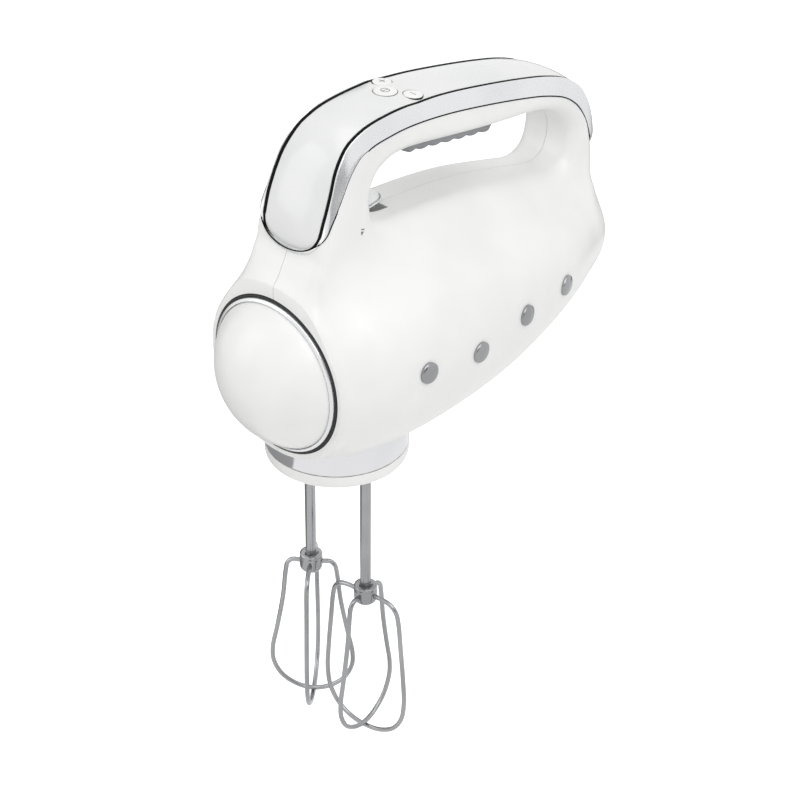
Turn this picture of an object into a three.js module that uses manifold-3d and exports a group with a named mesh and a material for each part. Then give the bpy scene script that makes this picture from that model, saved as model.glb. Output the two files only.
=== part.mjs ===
// Hand mixer: twin-beater mixer with a closed handle ring.
// Millimetres. +Z up, -Y is the front (dome), +Y is the heel, +X is the left side.
// Origin: underside of the round gearbox base, midway between the two beater spindles.

import * as THREE from 'three';
import { mergeVertices } from 'three/addons/utils/BufferGeometryUtils.js';
import Module from 'manifold-3d';

const wasm = await Module();
wasm.setup();

// ---------------------------------------------------------------- driving dimensions

const GAP = 0.3;                    // clearance between pieces that rest against each other
const RUN = 0.5;                    // clearance round a turning or sliding piece

// body
const BODY_AXIS_Z = 60.3;           // height of the body's long axis
const BODY_FRONT_Y = -39.6;         // front edge of the shell, behind the dome
const BODY_HEEL_Y = 171;            // flat heel
const BODY_RADIUS = 54.2;           // largest radius of the body
const HANDLE_TOP_Z = 175.8;         // highest point of the handle
const WALL = 2.5;                   // shell thickness
const HANDLE_HALF = 18.2;           // half width of the handle bar
const HANDLE_ROUND = 6;             // rounding of its edges, less than half the thinnest post

// dome, ring and gasket at the front
const DOME_RISE = 21.6;
const DOME_THICKNESS = 2.2;
const GASKET_RADIUS = 39.4;
const GASKET_WIDTH = 2.1;
const FRONT_RING_WIDTH = 1.5;
const FRONT_SEAT_DEPTH = 5;

// cover and trim along the handle
const COVER_HALF_FRONT = 16.8;
const COVER_HALF_TOP = 13.9;
const COVER_CROWN = 1.9;
const COVER_THICKNESS = 2.4;
const COVER_SLOT = 0.9;             // dark gap between cover and trim
const TRIM_HEIGHT = 9.2;            // over the hand; it thins out towards both ends
const TRIM_HEIGHT_END = 3.4;
const TRIM_LIP = 1.1;
const TRIM_SLANT = 2.4;             // how much wider the trim is at its foot than at its lip
const TRIM_LEDGE = 1;

// buttons, window
const POWER_RADIUS = 5.3;
const STEP_RADIUS = 4.2;
const BUTTON_RISE = 0.5;
const BUTTON_SKIRT = 4.2;
const BUTTON_PLACE = { power: 33, step: 42, stepSide: 9.2, window: 62 };   // by y
const WINDOW_LENGTH = 22;
const WINDOW_WIDTH = 15;
const BOARD_THICKNESS = 1.4;

// base
const BASE_RADIUS = 34.8;
const BASE_HEIGHT = 7.4;
const BASE_ROUND = 3;
const BAND_TOP_Z = 23;
const BAND_WALL = 1.3;

// gears: one worm between two wheels
const BEATER_SPACING = 38;
const WORM_Z = 45;
const WHEEL_TEETH = 24;
const WHEEL_HEIGHT = 9;
const WORM_RADIUS = 5;              // pitch radius
const TOOTH_HEIGHT = 1.7;
const WORM_TURNS = 4;

// spindles and bushes
const SHAFT_RADIUS = 2.7;           // beater shaft
const SPINDLE_RADIUS = 5.4;
const SPINDLE_FOOT_Z = 1.2;
const BUSH_RADIUS = 8.2;
const BUSH_HEIGHT = 5;

// beaters
const HUB_Z = -77;
const HUB_RADIUS = 5.85;
const HUB_HEIGHT = 10.6;
const SHAFT_TOP_Z = 31;
const WIRE_RADIUS = 1;
const LOOP_BOTTOM_Z = -164;
const REST_ANGLE = { right: 38, left: 7 };        // wire planes at rest, degrees from +X

// ejector
const EJECT_STROKE = 6;
const LEVER_PIVOT = [-1, 127.5];     // y, z
const LEVER_REACH = 27;
const LEVER_HALF = 6.5;
const ROD_Y = 15;
const PIN_RADIUS = 1.5;

// motor
const CAN_RADIUS = 24;
const CAN_FRONT_Y = 36;
const CAN_LENGTH = 58;
const CAN_WALL = 1.4;
const MOTOR_SHAFT_RADIUS = 2.5;
const ARMATURE_RADIUS = 13.5;
const FAN_RADIUS = 21;

// heel
const HEEL_PLATE_RADIUS = 19;
const HEEL_PLATE_THICKNESS = 2.4;
const HEEL_FOOT_RISE = 1;

// grip
const GRIP_FROM_Y = 30;
const GRIP_TO_Y = 88;
const GRIP_HALF = 11;
const GRIP_RIBS = 7;

// sides of round shapes, by size
const BIG = 28;
const ROUND = 16;
const SMALL = 10;

// ---------------------------------------------------------------- outlines

const bodyLength = BODY_HEEL_Y - BODY_FRONT_Y;
const ringHeight = HANDLE_TOP_Z - BODY_AXIS_Z;

// Radius of the body along its length: shares of length and of the largest radius.
const BODY_PROFILE = [
  [0.000, 0.768], [0.008, 0.800], [0.027, 0.822], [0.050, 0.862], [0.095, 0.924], [0.160, 0.968],
  [0.235, 0.992], [0.310, 1.000], [0.390, 0.994], [0.475, 0.976], [0.560, 0.941], [0.645, 0.885],
  [0.730, 0.814], [0.805, 0.738], [0.870, 0.657], [0.925, 0.575], [0.958, 0.530], [0.985, 0.480],
  [1.000, 0.420],
];

// Crown of the handle in the side view, from the neck over the top to the heel:
// shares of the body length and of the height above the body axis.
const CROWN = [
  [0.046, 0.539], [0.051, 0.586], [0.060, 0.638], [0.070, 0.694], [0.082, 0.751], [0.094, 0.803],
  [0.113, 0.874], [0.149, 0.945], [0.188, 0.977], [0.226, 0.992], [0.323, 1.000], [0.445, 0.979],
  [0.576, 0.938], [0.711, 0.885], [0.797, 0.843], [0.865, 0.794], [0.919, 0.720], [0.955, 0.613],
  [0.973, 0.481], [0.982, 0.345],
];

// Hand opening, clockwise from its lower front corner.
const OPENING = [
  [0.235, 0.586], [0.224, 0.640], [0.222, 0.700], [0.238, 0.752], [0.274, 0.793], [0.321, 0.806],
  [0.382, 0.795], [0.463, 0.771], [0.546, 0.747], [0.610, 0.730], [0.682, 0.713], [0.734, 0.703],
  [0.806, 0.677], [0.862, 0.627], [0.893, 0.548], [0.892, 0.460], [0.872, 0.395], [0.830, 0.365],
  [0.749, 0.400], [0.589, 0.478], [0.454, 0.517], [0.340, 0.534], [0.275, 0.550],
];

const place = ([along, up]) => [BODY_FRONT_Y + along * bodyLength, BODY_AXIS_Z + up * ringHeight];
const crownCurve = new THREE.CatmullRomCurve3(
  CROWN.map(place).map(([y, z]) => new THREE.Vector3(0, y, z)), false, 'centripetal');
const crownLength = crownCurve.getLength();

// ---------------------------------------------------------------- solids

// A closed geometry made ready for booleans: shared corners merged, faces pointing out.
function closed(geometry, tolerance = 1e-4) {
  const plain = geometry.clone();
  for (const name of Object.keys(plain.attributes)) {
    if (name !== 'position') plain.deleteAttribute(name);
  }
  const merged = mergeVertices(plain, tolerance);
  const p = merged.attributes.position;
  const faces = [];
  let volume = 0;
  const [a, b, c] = [new THREE.Vector3(), new THREE.Vector3(), new THREE.Vector3()];
  for (let i = 0; i < merged.index.count; i += 3) {
    const [u, v, w] = [0, 1, 2].map((k) => merged.index.getX(i + k));
    if (u === v || v === w || w === u) continue;
    faces.push([u, v, w]);
    a.fromBufferAttribute(p, u);
    b.fromBufferAttribute(p, v);
    c.fromBufferAttribute(p, w);
    volume += a.dot(b.cross(c));
  }
  const order = volume < 0 ? (f) => [f[0], f[2], f[1]] : (f) => f;
  return { points: p.array, triangles: faces.flatMap(order) };
}

function solid(geometry) {
  const { points, triangles } = closed(geometry);
  return new wasm.Manifold(new wasm.Mesh({
    numProp: 3, vertProperties: new Float32Array(points), triVerts: new Uint32Array(triangles),
  }));
}

// Back to a geometry, with corners nearer than a few microns made one.
function geometryOf(manifold) {
  const mesh = manifold.getMesh();
  const cutMesh = new THREE.BufferGeometry();
  cutMesh.setAttribute('position', new THREE.BufferAttribute(mesh.vertProperties, 3));
  cutMesh.setIndex(new THREE.BufferAttribute(mesh.triVerts, 1));
  const { points, triangles } = closed(cutMesh, 4e-3);
  const geometry = new THREE.BufferGeometry();
  geometry.setAttribute('position', new THREE.BufferAttribute(new Float32Array(points), 3));
  geometry.setIndex(triangles);
  return geometry;
}

const union = (...solids) => solids.reduce((all, next) => all.add(next));
const cut = (from, ...tools) => tools.reduce((left, tool) => left.subtract(tool), from);

const box = (x, y, z, cx, cy, cz) => solid(new THREE.BoxGeometry(x, y, z).translate(cx, cy, cz));

// Profile of [radius, height] pairs turned about the Z axis through (x, y).
function turnedZ(profile, x = 0, y = 0, sides = ROUND) {
  const points = profile.map(([r, h]) => new THREE.Vector2(r, h));
  if (profile[0][0] > 0) points.push(points[0].clone());
  return solid(new THREE.LatheGeometry(points, sides).rotateX(Math.PI / 2).translate(x, y, 0));
}

// Profile of [radius, y] pairs turned about a line along Y through (x, z).
function turnedY(profile, x = 0, z = BODY_AXIS_Z, sides = ROUND) {
  const points = profile.map(([r, h]) => new THREE.Vector2(r, h));
  if (profile[0][0] > 0) points.push(points[0].clone());
  return solid(new THREE.LatheGeometry(points, sides).translate(x, 0, z));
}

const rod = (r, from, to) => [[0, from], [r, from], [r, to], [0, to]];
const pipe = (outer, inner, from, to) => [[inner, from], [outer, from], [outer, to], [inner, to]];

// Closed line through [y, z] pairs, listed clockwise or the other way round.
function windingOf(pairs, clockwise) {
  const points = pairs.map(([y, z]) => new THREE.Vector2(y, z));
  return THREE.ShapeUtils.isClockWise(points) === clockwise ? points : points.reverse();
}

// Side-view outline of [y, z] pairs, with an optional hole, given a width along X.
// Its edges are rounded by `round`, and the whole is drawn in by `inset`.
function sideSlab(outline, hole, half, round, inset = 0, layers = 3) {
  const shape = new THREE.Shape(windingOf(outline, true));
  if (hole) shape.holes.push(new THREE.Path(windingOf(hole, false)));
  const depth = 2 * (half - inset - round);
  const geometry = new THREE.ExtrudeGeometry(shape, {
    depth, steps: 1, curveSegments: 8, bevelEnabled: round > 0, bevelSegments: layers,
    bevelThickness: round, bevelSize: round, bevelOffset: -round - inset,
  });
  geometry.translate(0, 0, -depth / 2);
  geometry.applyMatrix4(new THREE.Matrix4().set(0, 0, 1, 0, 1, 0, 0, 0, 0, 1, 0, 0, 0, 0, 0, 1));
  return solid(geometry);
}

// Closed skin through sections that all have the same number of points.
function loft(sections) {
  const count = sections[0].length;
  const points = sections.flat().flatMap((p) => [p.x, p.y, p.z]);
  const index = [];
  for (let s = 0; s + 1 < sections.length; s += 1) {
    for (let i = 0; i < count; i += 1) {
      const [a, b] = [s * count + i, s * count + ((i + 1) % count)];
      index.push(a, b, b + count, a, b + count, a + count);
    }
  }
  const last = (sections.length - 1) * count;
  for (let i = 1; i + 1 < count; i += 1) {
    index.push(0, i + 1, i, last, last + i, last + i + 1);
  }
  const geometry = new THREE.BufferGeometry();
  geometry.setAttribute('position', new THREE.BufferAttribute(new Float32Array(points), 3));
  geometry.setIndex(index);
  return solid(geometry);
}

// Place on the crown line: arc length s from the neck, x to the left, n above the surface.
function onCrown(s, x, n) {
  const t = THREE.MathUtils.clamp(s / crownLength, 0, 1);
  const at = crownCurve.getPointAt(t);
  const along = crownCurve.getTangentAt(t);
  const beyond = s - t * crownLength;
  return new THREE.Vector3(
    x, at.y + along.y * beyond - along.z * n, at.z + along.z * beyond + along.y * n);
}

// Arc length of the crown point that lies at a given y, on the upper side.
function crownAtY(y) {
  let [low, high] = [crownLength * 0.12, crownLength * 0.85];
  for (let i = 0; i < 30; i += 1) {
    const middle = (low + high) / 2;
    if (onCrown(middle, 0, 0).y < y) low = middle; else high = middle;
  }
  return (low + high) / 2;
}

// Strip along the crown with round ends. half(s) is its half width, and section(half)
// gives the [x, n] corners of its cross-section, counter-clockwise seen from the neck.
function crownStrip(from, to, half, section, spacing = 15) {
  const stations = [];
  const endSteps = 4;
  const [startHalf, endHalf] = [half(from), half(to)];
  for (let i = 0; i < endSteps; i += 1) {
    stations.push(from + startHalf * (1 - Math.cos(((i + 0.6) / endSteps) * (Math.PI / 2))));
  }
  const [a, b] = [from + startHalf, to - endHalf];
  const steps = Math.ceil((b - a) / spacing);
  for (let i = 0; i <= steps; i += 1) stations.push(a + ((b - a) * i) / steps);
  for (let i = endSteps - 1; i >= 0; i -= 1) {
    stations.push(to - endHalf * (1 - Math.cos(((i + 0.6) / endSteps) * (Math.PI / 2))));
  }
  const rounded = (s) => {
    const start = Math.min((s - from) / startHalf, 1);
    const end = Math.min((to - s) / endHalf, 1);
    const share = Math.sqrt(1 - (1 - start) ** 2) * Math.sqrt(1 - (1 - end) ** 2);
    return half(s) * share;
  };
  return loft(stations.map((s) => section(rounded(s), s).map(([x, n]) => onCrown(s, x, n))));
}

// Round wire along a smooth curve.
function wire(points, radius, steps, sides = 6, tension = 'centripetal') {
  const curve = new THREE.CatmullRomCurve3(points, false, tension);
  const section = new THREE.Shape();
  section.absarc(0, 0, radius, 0, 2 * Math.PI, false);
  return new THREE.ExtrudeGeometry(section, {
    extrudePath: curve, steps, curveSegments: sides / 2, bevelEnabled: false,
  });
}

// ---------------------------------------------------------------- materials

const finish = (color, roughness, metalness = 0) => (
  new THREE.MeshStandardMaterial({ color, roughness, metalness }));
const white = finish(0xf2f2f0, 0.28);
const pearl = finish(0xdcdddd, 0.3, 0.2);
const satin = finish(0xb9babc, 0.3, 1);
const chrome = finish(0xdadbdc, 0.08, 1);
const steel = finish(0xc4c6c8, 0.2, 1);
const rubber = finish(0x8d8f91, 0.75);
const black = finish(0x151515, 0.5);
const grey = finish(0x5a5c5e, 0.5);
const bronze = finish(0xa67c45, 0.45, 1);
const castMetal = finish(0x9a9c9e, 0.5, 1);
const copper = finish(0xb06a3a, 0.4, 1);
const nylon = finish(0xe6e2d4, 0.5);
const circuit = finish(0x1f5a3a, 0.6);
const glass = finish(0x1a1c1e, 0.1);
const carbon = finish(0x2c2c2e, 0.7);

const mixer = new THREE.Group();
function add(name, shape, material, parent = mixer) {
  const geometry = shape instanceof THREE.BufferGeometry ? shape : geometryOf(shape);
  const mesh = new THREE.Mesh(geometry, material);
  mesh.name = name;
  parent.add(mesh);
  return mesh;
}

// ---------------------------------------------------------------- housing

const bodyStations = BODY_PROFILE.map(([along, share]) => (
  [share * BODY_RADIUS, BODY_FRONT_Y + along * bodyLength]));
const closeProfile = (rows) => [[0, rows[0][1]], ...rows, [0, rows.at(-1)[1]]];
const bodyOuter = turnedY(closeProfile(bodyStations), 0, BODY_AXIS_Z, BIG);
const innerStations = bodyStations.map(([r, y], i) => [
  r - WALL,
  i === bodyStations.length - 1 ? y - WALL - HEEL_PLATE_THICKNESS : y,
]).filter(([, y], i, rows) => i % 2 === 0 && (i === rows.length - 1 || y < rows.at(-1)[1] - 1));
const bodyInner = turnedY(closeProfile(innerStations), 0, BODY_AXIS_Z, BIG);
// Ribs and bosses run half way into the wall, so they are one with it.
const bodyMiddle = turnedY(closeProfile(innerStations.map(([r, y], i, rows) => (
  [r + WALL / 2, i === rows.length - 1 ? y + WALL / 2 : y]))), 0, BODY_AXIS_Z, BIG);

// Front neck and rear foot of the handle, widening into the body: level oval sections of
// [height, front y, rear y, half width], heights and y as shares like the crown's.
const FRONT_NECK = [
  [0.898, 0.145, 0.190, 15], [0.790, 0.093, 0.214, 20.4], [0.690, 0.072, 0.214, 21.4],
  [0.600, 0.055, 0.226, 21.6], [0.530, 0.042, 0.254, 23], [0.460, 0.031, 0.302, 27],
  [0.400, 0.022, 0.359, 33], [0.350, 0.017, 0.416, 39],
];
const REAR_NECK = [
  [0.620, 0.880, 0.955, 15], [0.500, 0.872, 0.972, 17.5], [0.420, 0.840, 0.984, 20],
  [0.340, 0.790, 0.992, 23], [0.250, 0.740, 0.997, 27],
];

function neck(rows, inset) {
  const sides = 20;
  return loft(rows.map(([up, front, rear, half]) => {
    const [y0, z] = place([front, up]);
    const [y1] = place([rear, up]);
    const [cy, ry, rx] = [(y0 + y1) / 2, (y1 - y0) / 2 - inset, half - inset];
    return Array.from({ length: sides }, (_, i) => {
      const angle = (-2 * Math.PI * i) / sides;
      const [c, s] = [Math.cos(angle), Math.sin(angle)];
      const square = (v) => Math.sign(v) * Math.abs(v) ** 0.75;
      return new THREE.Vector3(rx * square(c), cy + ry * square(s), z);
    });
  }));
}

const ringOutline = [
  place([0.06, 0.25]), place([0.035, 0.38]), place([0.038, 0.47]), ...CROWN.map(place),
  place([0.986, 0.22]), place([0.93, 0.1]), place([0.5, 0.1]),
];
const opening = OPENING.map(place);
const ringOuter = sideSlab(ringOutline, opening, HANDLE_HALF, HANDLE_ROUND, 0, 2);
const ringInner = sideSlab(ringOutline, opening, HANDLE_HALF, HANDLE_ROUND - WALL, WALL, 2);

const outerBody = union(bodyOuter, ringOuter, neck(FRONT_NECK, 0), neck(REAR_NECK, 0));
const innerBody = union(bodyInner, ringInner, neck(FRONT_NECK, WALL), neck(REAR_NECK, WALL));

// Widths along the crown: full at the neck, slimmer over the hand.
const taper = (s) => THREE.MathUtils.smoothstep(s, 24, 62);
const coverHalf = (s) => THREE.MathUtils.lerp(COVER_HALF_FRONT, COVER_HALF_TOP, taper(s));
const trimStart = 1;
const trimEnd = crownLength - 3;
const coverStart = trimStart + 3.2;
const coverEnd = trimEnd - 4.5;
const trimLipHalf = (s) => coverHalf(s) + COVER_SLOT + TRIM_LIP;
const trimFootHalf = (s) => trimLipHalf(s) + TRIM_SLANT;
const overHand = (s) => THREE.MathUtils.smoothstep(s, 6, 58)
  * (1 - THREE.MathUtils.smoothstep(s, crownLength - 58, crownLength - 10));
const trimDepth = (s) => THREE.MathUtils.lerp(TRIM_HEIGHT_END, TRIM_HEIGHT, overHand(s));

const trimOuter = crownStrip(trimStart, trimEnd, trimFootHalf, (half, s) => {
  const lip = Math.max(half - TRIM_SLANT, half * 0.85);
  const foot = -trimDepth(s);
  return [[-half, foot], [half, foot], [half, foot + 0.6], [lip, -0.2], [-lip, -0.2], [-half, foot + 0.6]];
});
const plainStrip = (from, to, half, bottom, top) => crownStrip(from, to, half, (h) => (
  [[-h, bottom], [h, bottom], [h, top], [-h, top]]));
const coverPocket = plainStrip(
  coverStart - COVER_SLOT, coverEnd + COVER_SLOT, (s) => coverHalf(s) + COVER_SLOT,
  -COVER_THICKNESS - GAP, 8);
const trimThrough = plainStrip(
  coverStart + TRIM_LEDGE, coverEnd - TRIM_LEDGE, (s) => coverHalf(s) - TRIM_LEDGE,
  -TRIM_HEIGHT - 5, 8);
const trimSeat = crownStrip(
  trimStart - GAP, trimEnd + GAP, (s) => trimFootHalf(s) + GAP
    + 4 * THREE.MathUtils.smoothstep(s, 24, 44)
    * (1 - THREE.MathUtils.smoothstep(s, crownLength - 44, crownLength - 24)),
  (h, s) => [[-h, -trimDepth(s) - GAP], [h, -trimDepth(s) - GAP], [h, 9], [-h, 9]]);
const handleWay = plainStrip(
  coverStart + 10, coverEnd - 12, () => HANDLE_HALF - 6, -TRIM_HEIGHT - 3.4, -TRIM_HEIGHT + 1);

// Motor cradle: two ribs inside the shell that carry the motor can.
const ribY = [CAN_FRONT_Y + 8, CAN_FRONT_Y + CAN_LENGTH - 12];
const ribs = ribY.map((y) => cut(
  bodyMiddle.intersect(box(200, 3, 96, 0, y, 52)),
  turnedY(rod(CAN_RADIUS + GAP, y - 5, y + 5), 0, WORM_Z, BIG)));
// Board posts: a rib behind the motor that the power board stands on.
const boardY = BODY_HEEL_Y - 42;
const boardZ = BODY_AXIS_Z - 22;
const boardLength = 34;
const boardPosts = [-1, 1].map((side) => (
  bodyMiddle.intersect(box(200, 3, 60, 0, boardY + side * (boardLength / 2 - 4), boardZ - 30))));

const heelPocket = turnedY(rod(
  HEEL_PLATE_RADIUS + GAP, BODY_HEEL_Y - HEEL_PLATE_THICKNESS - GAP, BODY_HEEL_Y + 5));
const heelBossY = BODY_HEEL_Y - HEEL_PLATE_THICKNESS - 9;
const heelScrewX = 11;
const heelBosses = [-1, 1].map((side) => bodyMiddle.intersect(
  turnedY(rod(4, heelBossY, BODY_HEEL_Y), side * heelScrewX)));
const screwRadius = 1.5;
const heelBores = [-1, 1].map((side) => turnedY(
  rod(screwRadius + GAP, heelBossY + 0.5, BODY_HEEL_Y + 5), side * heelScrewX));

const frontSeat = turnedY(rod(GASKET_RADIUS + GAP, BODY_FRONT_Y - 5, BODY_FRONT_Y + FRONT_SEAT_DEPTH),
  0, BODY_AXIS_Z, BIG);
const frontLip = cut(
  bodyMiddle.intersect(turnedY(rod(GASKET_RADIUS + 6, BODY_FRONT_Y + FRONT_SEAT_DEPTH,
    BODY_FRONT_Y + FRONT_SEAT_DEPTH + 2.5), 0, BODY_AXIS_Z, BIG)),
  turnedY(rod(GASKET_RADIUS - 7, BODY_FRONT_Y, BODY_FRONT_Y + 20), 0, BODY_AXIS_Z, BIG));

const upstandTop = BAND_TOP_Z + 0.8;   // the base plate stands this high inside the band
const baseHole = turnedZ(rod(BASE_RADIUS + GAP, -5, upstandTop + GAP), 0, 0, BIG);
const glandPlace = { y: BODY_HEEL_Y - 24, radius: 5.2, bore: 3, length: 12 };
const glandZ = BODY_AXIS_Z - 35;
const glandHole = turnedZ(rod(glandPlace.radius + GAP, glandZ - 12, glandZ + 14), 0, glandPlace.y);
const glandCollar = cut(
  bodyMiddle.intersect(turnedZ(rod(glandPlace.radius + 3, glandZ - 12, glandZ + 6), 0, glandPlace.y)),
  glandHole);

// Slot for the eject lever in the corner between the front post and the lower rail.
const leverSlotHalf = LEVER_HALF + RUN;
const leverSlot = box(2 * leverSlotHalf, LEVER_REACH + 11, 34,
  0, LEVER_PIVOT[0] + LEVER_REACH / 2 - 1.5, LEVER_PIVOT[1] - 9.5);
const leverPinHole = solid(new THREE.CylinderGeometry(PIN_RADIUS + GAP, PIN_RADIUS + GAP, 23, 16)
  .rotateZ(Math.PI / 2).translate(0, ...LEVER_PIVOT));
const leverCheeks = cut(
  box(2 * (HANDLE_HALF - 1), 10, 10, 0, ...LEVER_PIVOT),
  box(2 * leverSlotHalf, 30, 30, 0, ...LEVER_PIVOT));

// Grip insert below the handle bar: follows the upper edge of the opening.
const gripCurve = new THREE.CatmullRomCurve3(
  OPENING.slice(4, 13).map(place).map(([y, z]) => new THREE.Vector3(0, y, z)), false, 'centripetal');
function openingTop(y) {
  let [low, high] = [0, 1];
  for (let i = 0; i < 26; i += 1) {
    const middle = (low + high) / 2;
    if (gripCurve.getPoint(middle).y < y) low = middle; else high = middle;
  }
  return gripCurve.getPoint((low + high) / 2).z;
}
const gripSteps = 14;
const gripY = (i) => GRIP_FROM_Y + ((GRIP_TO_Y - GRIP_FROM_Y) * i) / gripSteps;
const gripDepth = 1.6;
function gripOutline(below, above, spread) {
  const rows = Array.from({ length: gripSteps + 1 }, (_, i) => gripY(i));
  rows[0] -= spread;
  rows[gripSteps] += spread;
  return [
    ...rows.map((y) => [y, openingTop(y) - below]),
    ...rows.reverse().map((y) => [y, openingTop(y) + above]),
  ];
}
const gripSeat = sideSlab(gripOutline(5, gripDepth + GAP, GAP), null, GRIP_HALF + GAP, 0);

const shell = cut(
  union(cut(outerBody, innerBody), ...ribs, ...boardPosts, ...heelBosses, frontLip, glandCollar,
    leverCheeks.intersect(outerBody)),
  trimSeat, handleWay, heelPocket, ...heelBores, frontSeat, baseHole, glandHole, leverSlot,
  leverPinHole, gripSeat);

const SEAM = 0.15;                  // each half stops this far from the mid plane
const halfBox = (side) => box(300, 600, 600, side * (150 + SEAM), 60, 60);

// Boolean work can leave loose slivers, so the largest piece is the part.
function largest(manifold) {
  const parts = manifold.decompose();
  return parts.reduce((best, next) => (next.volume() > best.volume() ? next : best));
}
add('housing_left', largest(shell.intersect(halfBox(1))), white);
add('housing_right', largest(shell.intersect(halfBox(-1))), white);

// ---------------------------------------------------------------- cover, trim, buttons

const stationOf = {
  power: crownAtY(BUTTON_PLACE.power),
  step: crownAtY(BUTTON_PLACE.step),
  window: crownAtY(BUTTON_PLACE.window),
};

// Turns something modelled about +Z at the origin to stand on the crown at s and x.
function standing(geometry, s, x) {
  const along = crownCurve.getTangentAt(s / crownLength);
  const tilt = Math.atan2(along.z, along.y);
  const at = onCrown(s, x, 0);
  return geometry.rotateX(tilt).translate(at.x, at.y, at.z);
}
const uprightCylinder = (r, from, to, sides = 24) => (
  new THREE.CylinderGeometry(r, r, to - from, sides).rotateX(Math.PI / 2)
    .translate(0, 0, (from + to) / 2));

const coverSection = (half) => {
  const crown = COVER_CROWN * Math.min(1, half / COVER_HALF_TOP);
  const base = -0.2;
  return [[-half, -COVER_THICKNESS], [half, -COVER_THICKNESS], [half, base],
    [half * 0.66, base + crown * 0.55], [half * 0.3, base + crown * 0.9],
    [-half * 0.3, base + crown * 0.9], [-half * 0.66, base + crown * 0.55], [-half, base]];
};
const buttonSpots = [
  ['power_button', stationOf.power, 0, POWER_RADIUS],
  ['minus_button', stationOf.step, BUTTON_PLACE.stepSide, STEP_RADIUS],
  ['plus_button', stationOf.step, -BUTTON_PLACE.stepSide, STEP_RADIUS],
];
const windowHole = standing(
  new THREE.BoxGeometry(WINDOW_WIDTH + 2 * GAP, WINDOW_LENGTH + 2 * GAP, 30), stationOf.window, 0);
const buttonHoles = buttonSpots.map(([, s, x, r]) => (
  solid(standing(uprightCylinder(r + GAP, -12, 8), s, x))));
const cover = cut(crownStrip(coverStart, coverEnd, coverHalf, coverSection), ...buttonHoles,
  solid(windowHole));
add('handle_cover', largest(cover), pearl);
add('handle_trim', largest(cut(trimOuter, coverPocket, trimThrough, ...buttonHoles)), satin);

const windowTop = COVER_CROWN * 0.75;
add('display_window', solid(standing(
  new THREE.BoxGeometry(WINDOW_WIDTH, WINDOW_LENGTH, COVER_THICKNESS + windowTop)
    .translate(0, 0, (windowTop - COVER_THICKNESS) / 2), stationOf.window, 0)), glass);

const sideDrop = (x) => -0.2 + COVER_CROWN * (1 - (x / COVER_HALF_TOP) ** 2);
buttonSpots.forEach(([name, s, x, r]) => {
  const top = sideDrop(x) + BUTTON_RISE;
  const profile = [[0, -BUTTON_SKIRT], [r, -BUTTON_SKIRT], [r, top - 0.6], [r - 0.6, top], [0, top + 0.1]];
  const points = profile.map(([pr, h]) => new THREE.Vector2(pr, h));
  const body = new THREE.LatheGeometry(points, ROUND).rotateX(Math.PI / 2);
  add(name, solid(standing(body, s, x)), white);
});

// Board under the buttons: it bends in two flats with the crown, so it is a short strip.
const boardFrom = crownAtY(BUTTON_PLACE.power - 12);
const boardTo = crownAtY(BUTTON_PLACE.window + 15);
const switchDrop = BUTTON_SKIRT + 1;
const buttonBoard = crownStrip(boardFrom, boardTo, () => COVER_HALF_TOP - TRIM_LEDGE - 0.5, (h) => (
  [[-h, -switchDrop - BOARD_THICKNESS], [h, -switchDrop - BOARD_THICKNESS], [h, -switchDrop],
    [-h, -switchDrop]]));
add('button_board', buttonBoard, circuit);

// ---------------------------------------------------------------- grip insert

const gripLow = 1.5;
const gripRows = gripOutline(gripLow, gripDepth, 0);
const ribPitch = (GRIP_TO_Y - GRIP_FROM_Y) / (GRIP_RIBS + 0.5);
const ribRadius = 2;
const gripRibs = Array.from({ length: GRIP_RIBS }, (_, i) => {
  const y = GRIP_FROM_Y + ribPitch * (i + 0.75);
  return solid(new THREE.CylinderGeometry(ribRadius, ribRadius, 2 * GRIP_HALF - 3, 8)
    .rotateZ(Math.PI / 2).translate(0, y, openingTop(y) - gripLow));
});
add('grip_insert', union(sideSlab(gripRows, null, GRIP_HALF, 0), ...gripRibs), rubber);

// ---------------------------------------------------------------- front: gasket, ring, dome

const ringOuterRadius = GASKET_RADIUS - GASKET_WIDTH;
const domeRadius = ringOuterRadius - FRONT_RING_WIDTH;
const seatY = BODY_FRONT_Y + FRONT_SEAT_DEPTH;
add('front_gasket', turnedY([
  [ringOuterRadius - 2, seatY - GAP], [GASKET_RADIUS, seatY - GAP], [GASKET_RADIUS, BODY_FRONT_Y + 0.6],
  [ringOuterRadius + GAP, BODY_FRONT_Y + 0.6], [ringOuterRadius + GAP, seatY - 2.3],
  [ringOuterRadius - 2, seatY - 2.3]], 0, BODY_AXIS_Z, BIG), black);
add('front_ring', turnedY([
  [domeRadius - 2, seatY - 2.6], [ringOuterRadius, seatY - 2.6], [ringOuterRadius, BODY_FRONT_Y - 1.2],
  [ringOuterRadius - 0.5, BODY_FRONT_Y - 1.8], [domeRadius + GAP, BODY_FRONT_Y - 1.8],
  [domeRadius + GAP, seatY - 4.3], [domeRadius - 2, seatY - 4.3]], 0, BODY_AXIS_Z, BIG), satin);

const domeBaseY = BODY_FRONT_Y - 1.6;
const domeSphere = (domeRadius ** 2 + DOME_RISE ** 2) / (2 * DOME_RISE);
const domeArc = (rise, base, sphere, from, steps) => Array.from({ length: steps + 1 }, (_, i) => {
  const r = from * (1 - i / steps);
  return [r, base - (Math.sqrt(sphere ** 2 - r ** 2) - (sphere - rise))];
});
const domeInnerSphere = domeSphere - DOME_THICKNESS;
const domeInnerBase = domeRadius - DOME_THICKNESS;
add('front_cap', turnedY([
  [domeInnerBase, seatY - 4.6], [domeRadius, seatY - 4.6],
  ...domeArc(DOME_RISE, domeBaseY, domeSphere, domeRadius, 5),
  ...domeArc(DOME_RISE - DOME_THICKNESS, domeBaseY, domeInnerSphere, domeInnerBase, 3).reverse(),
], 0, BODY_AXIS_Z, BIG), white);

// ---------------------------------------------------------------- base

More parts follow.
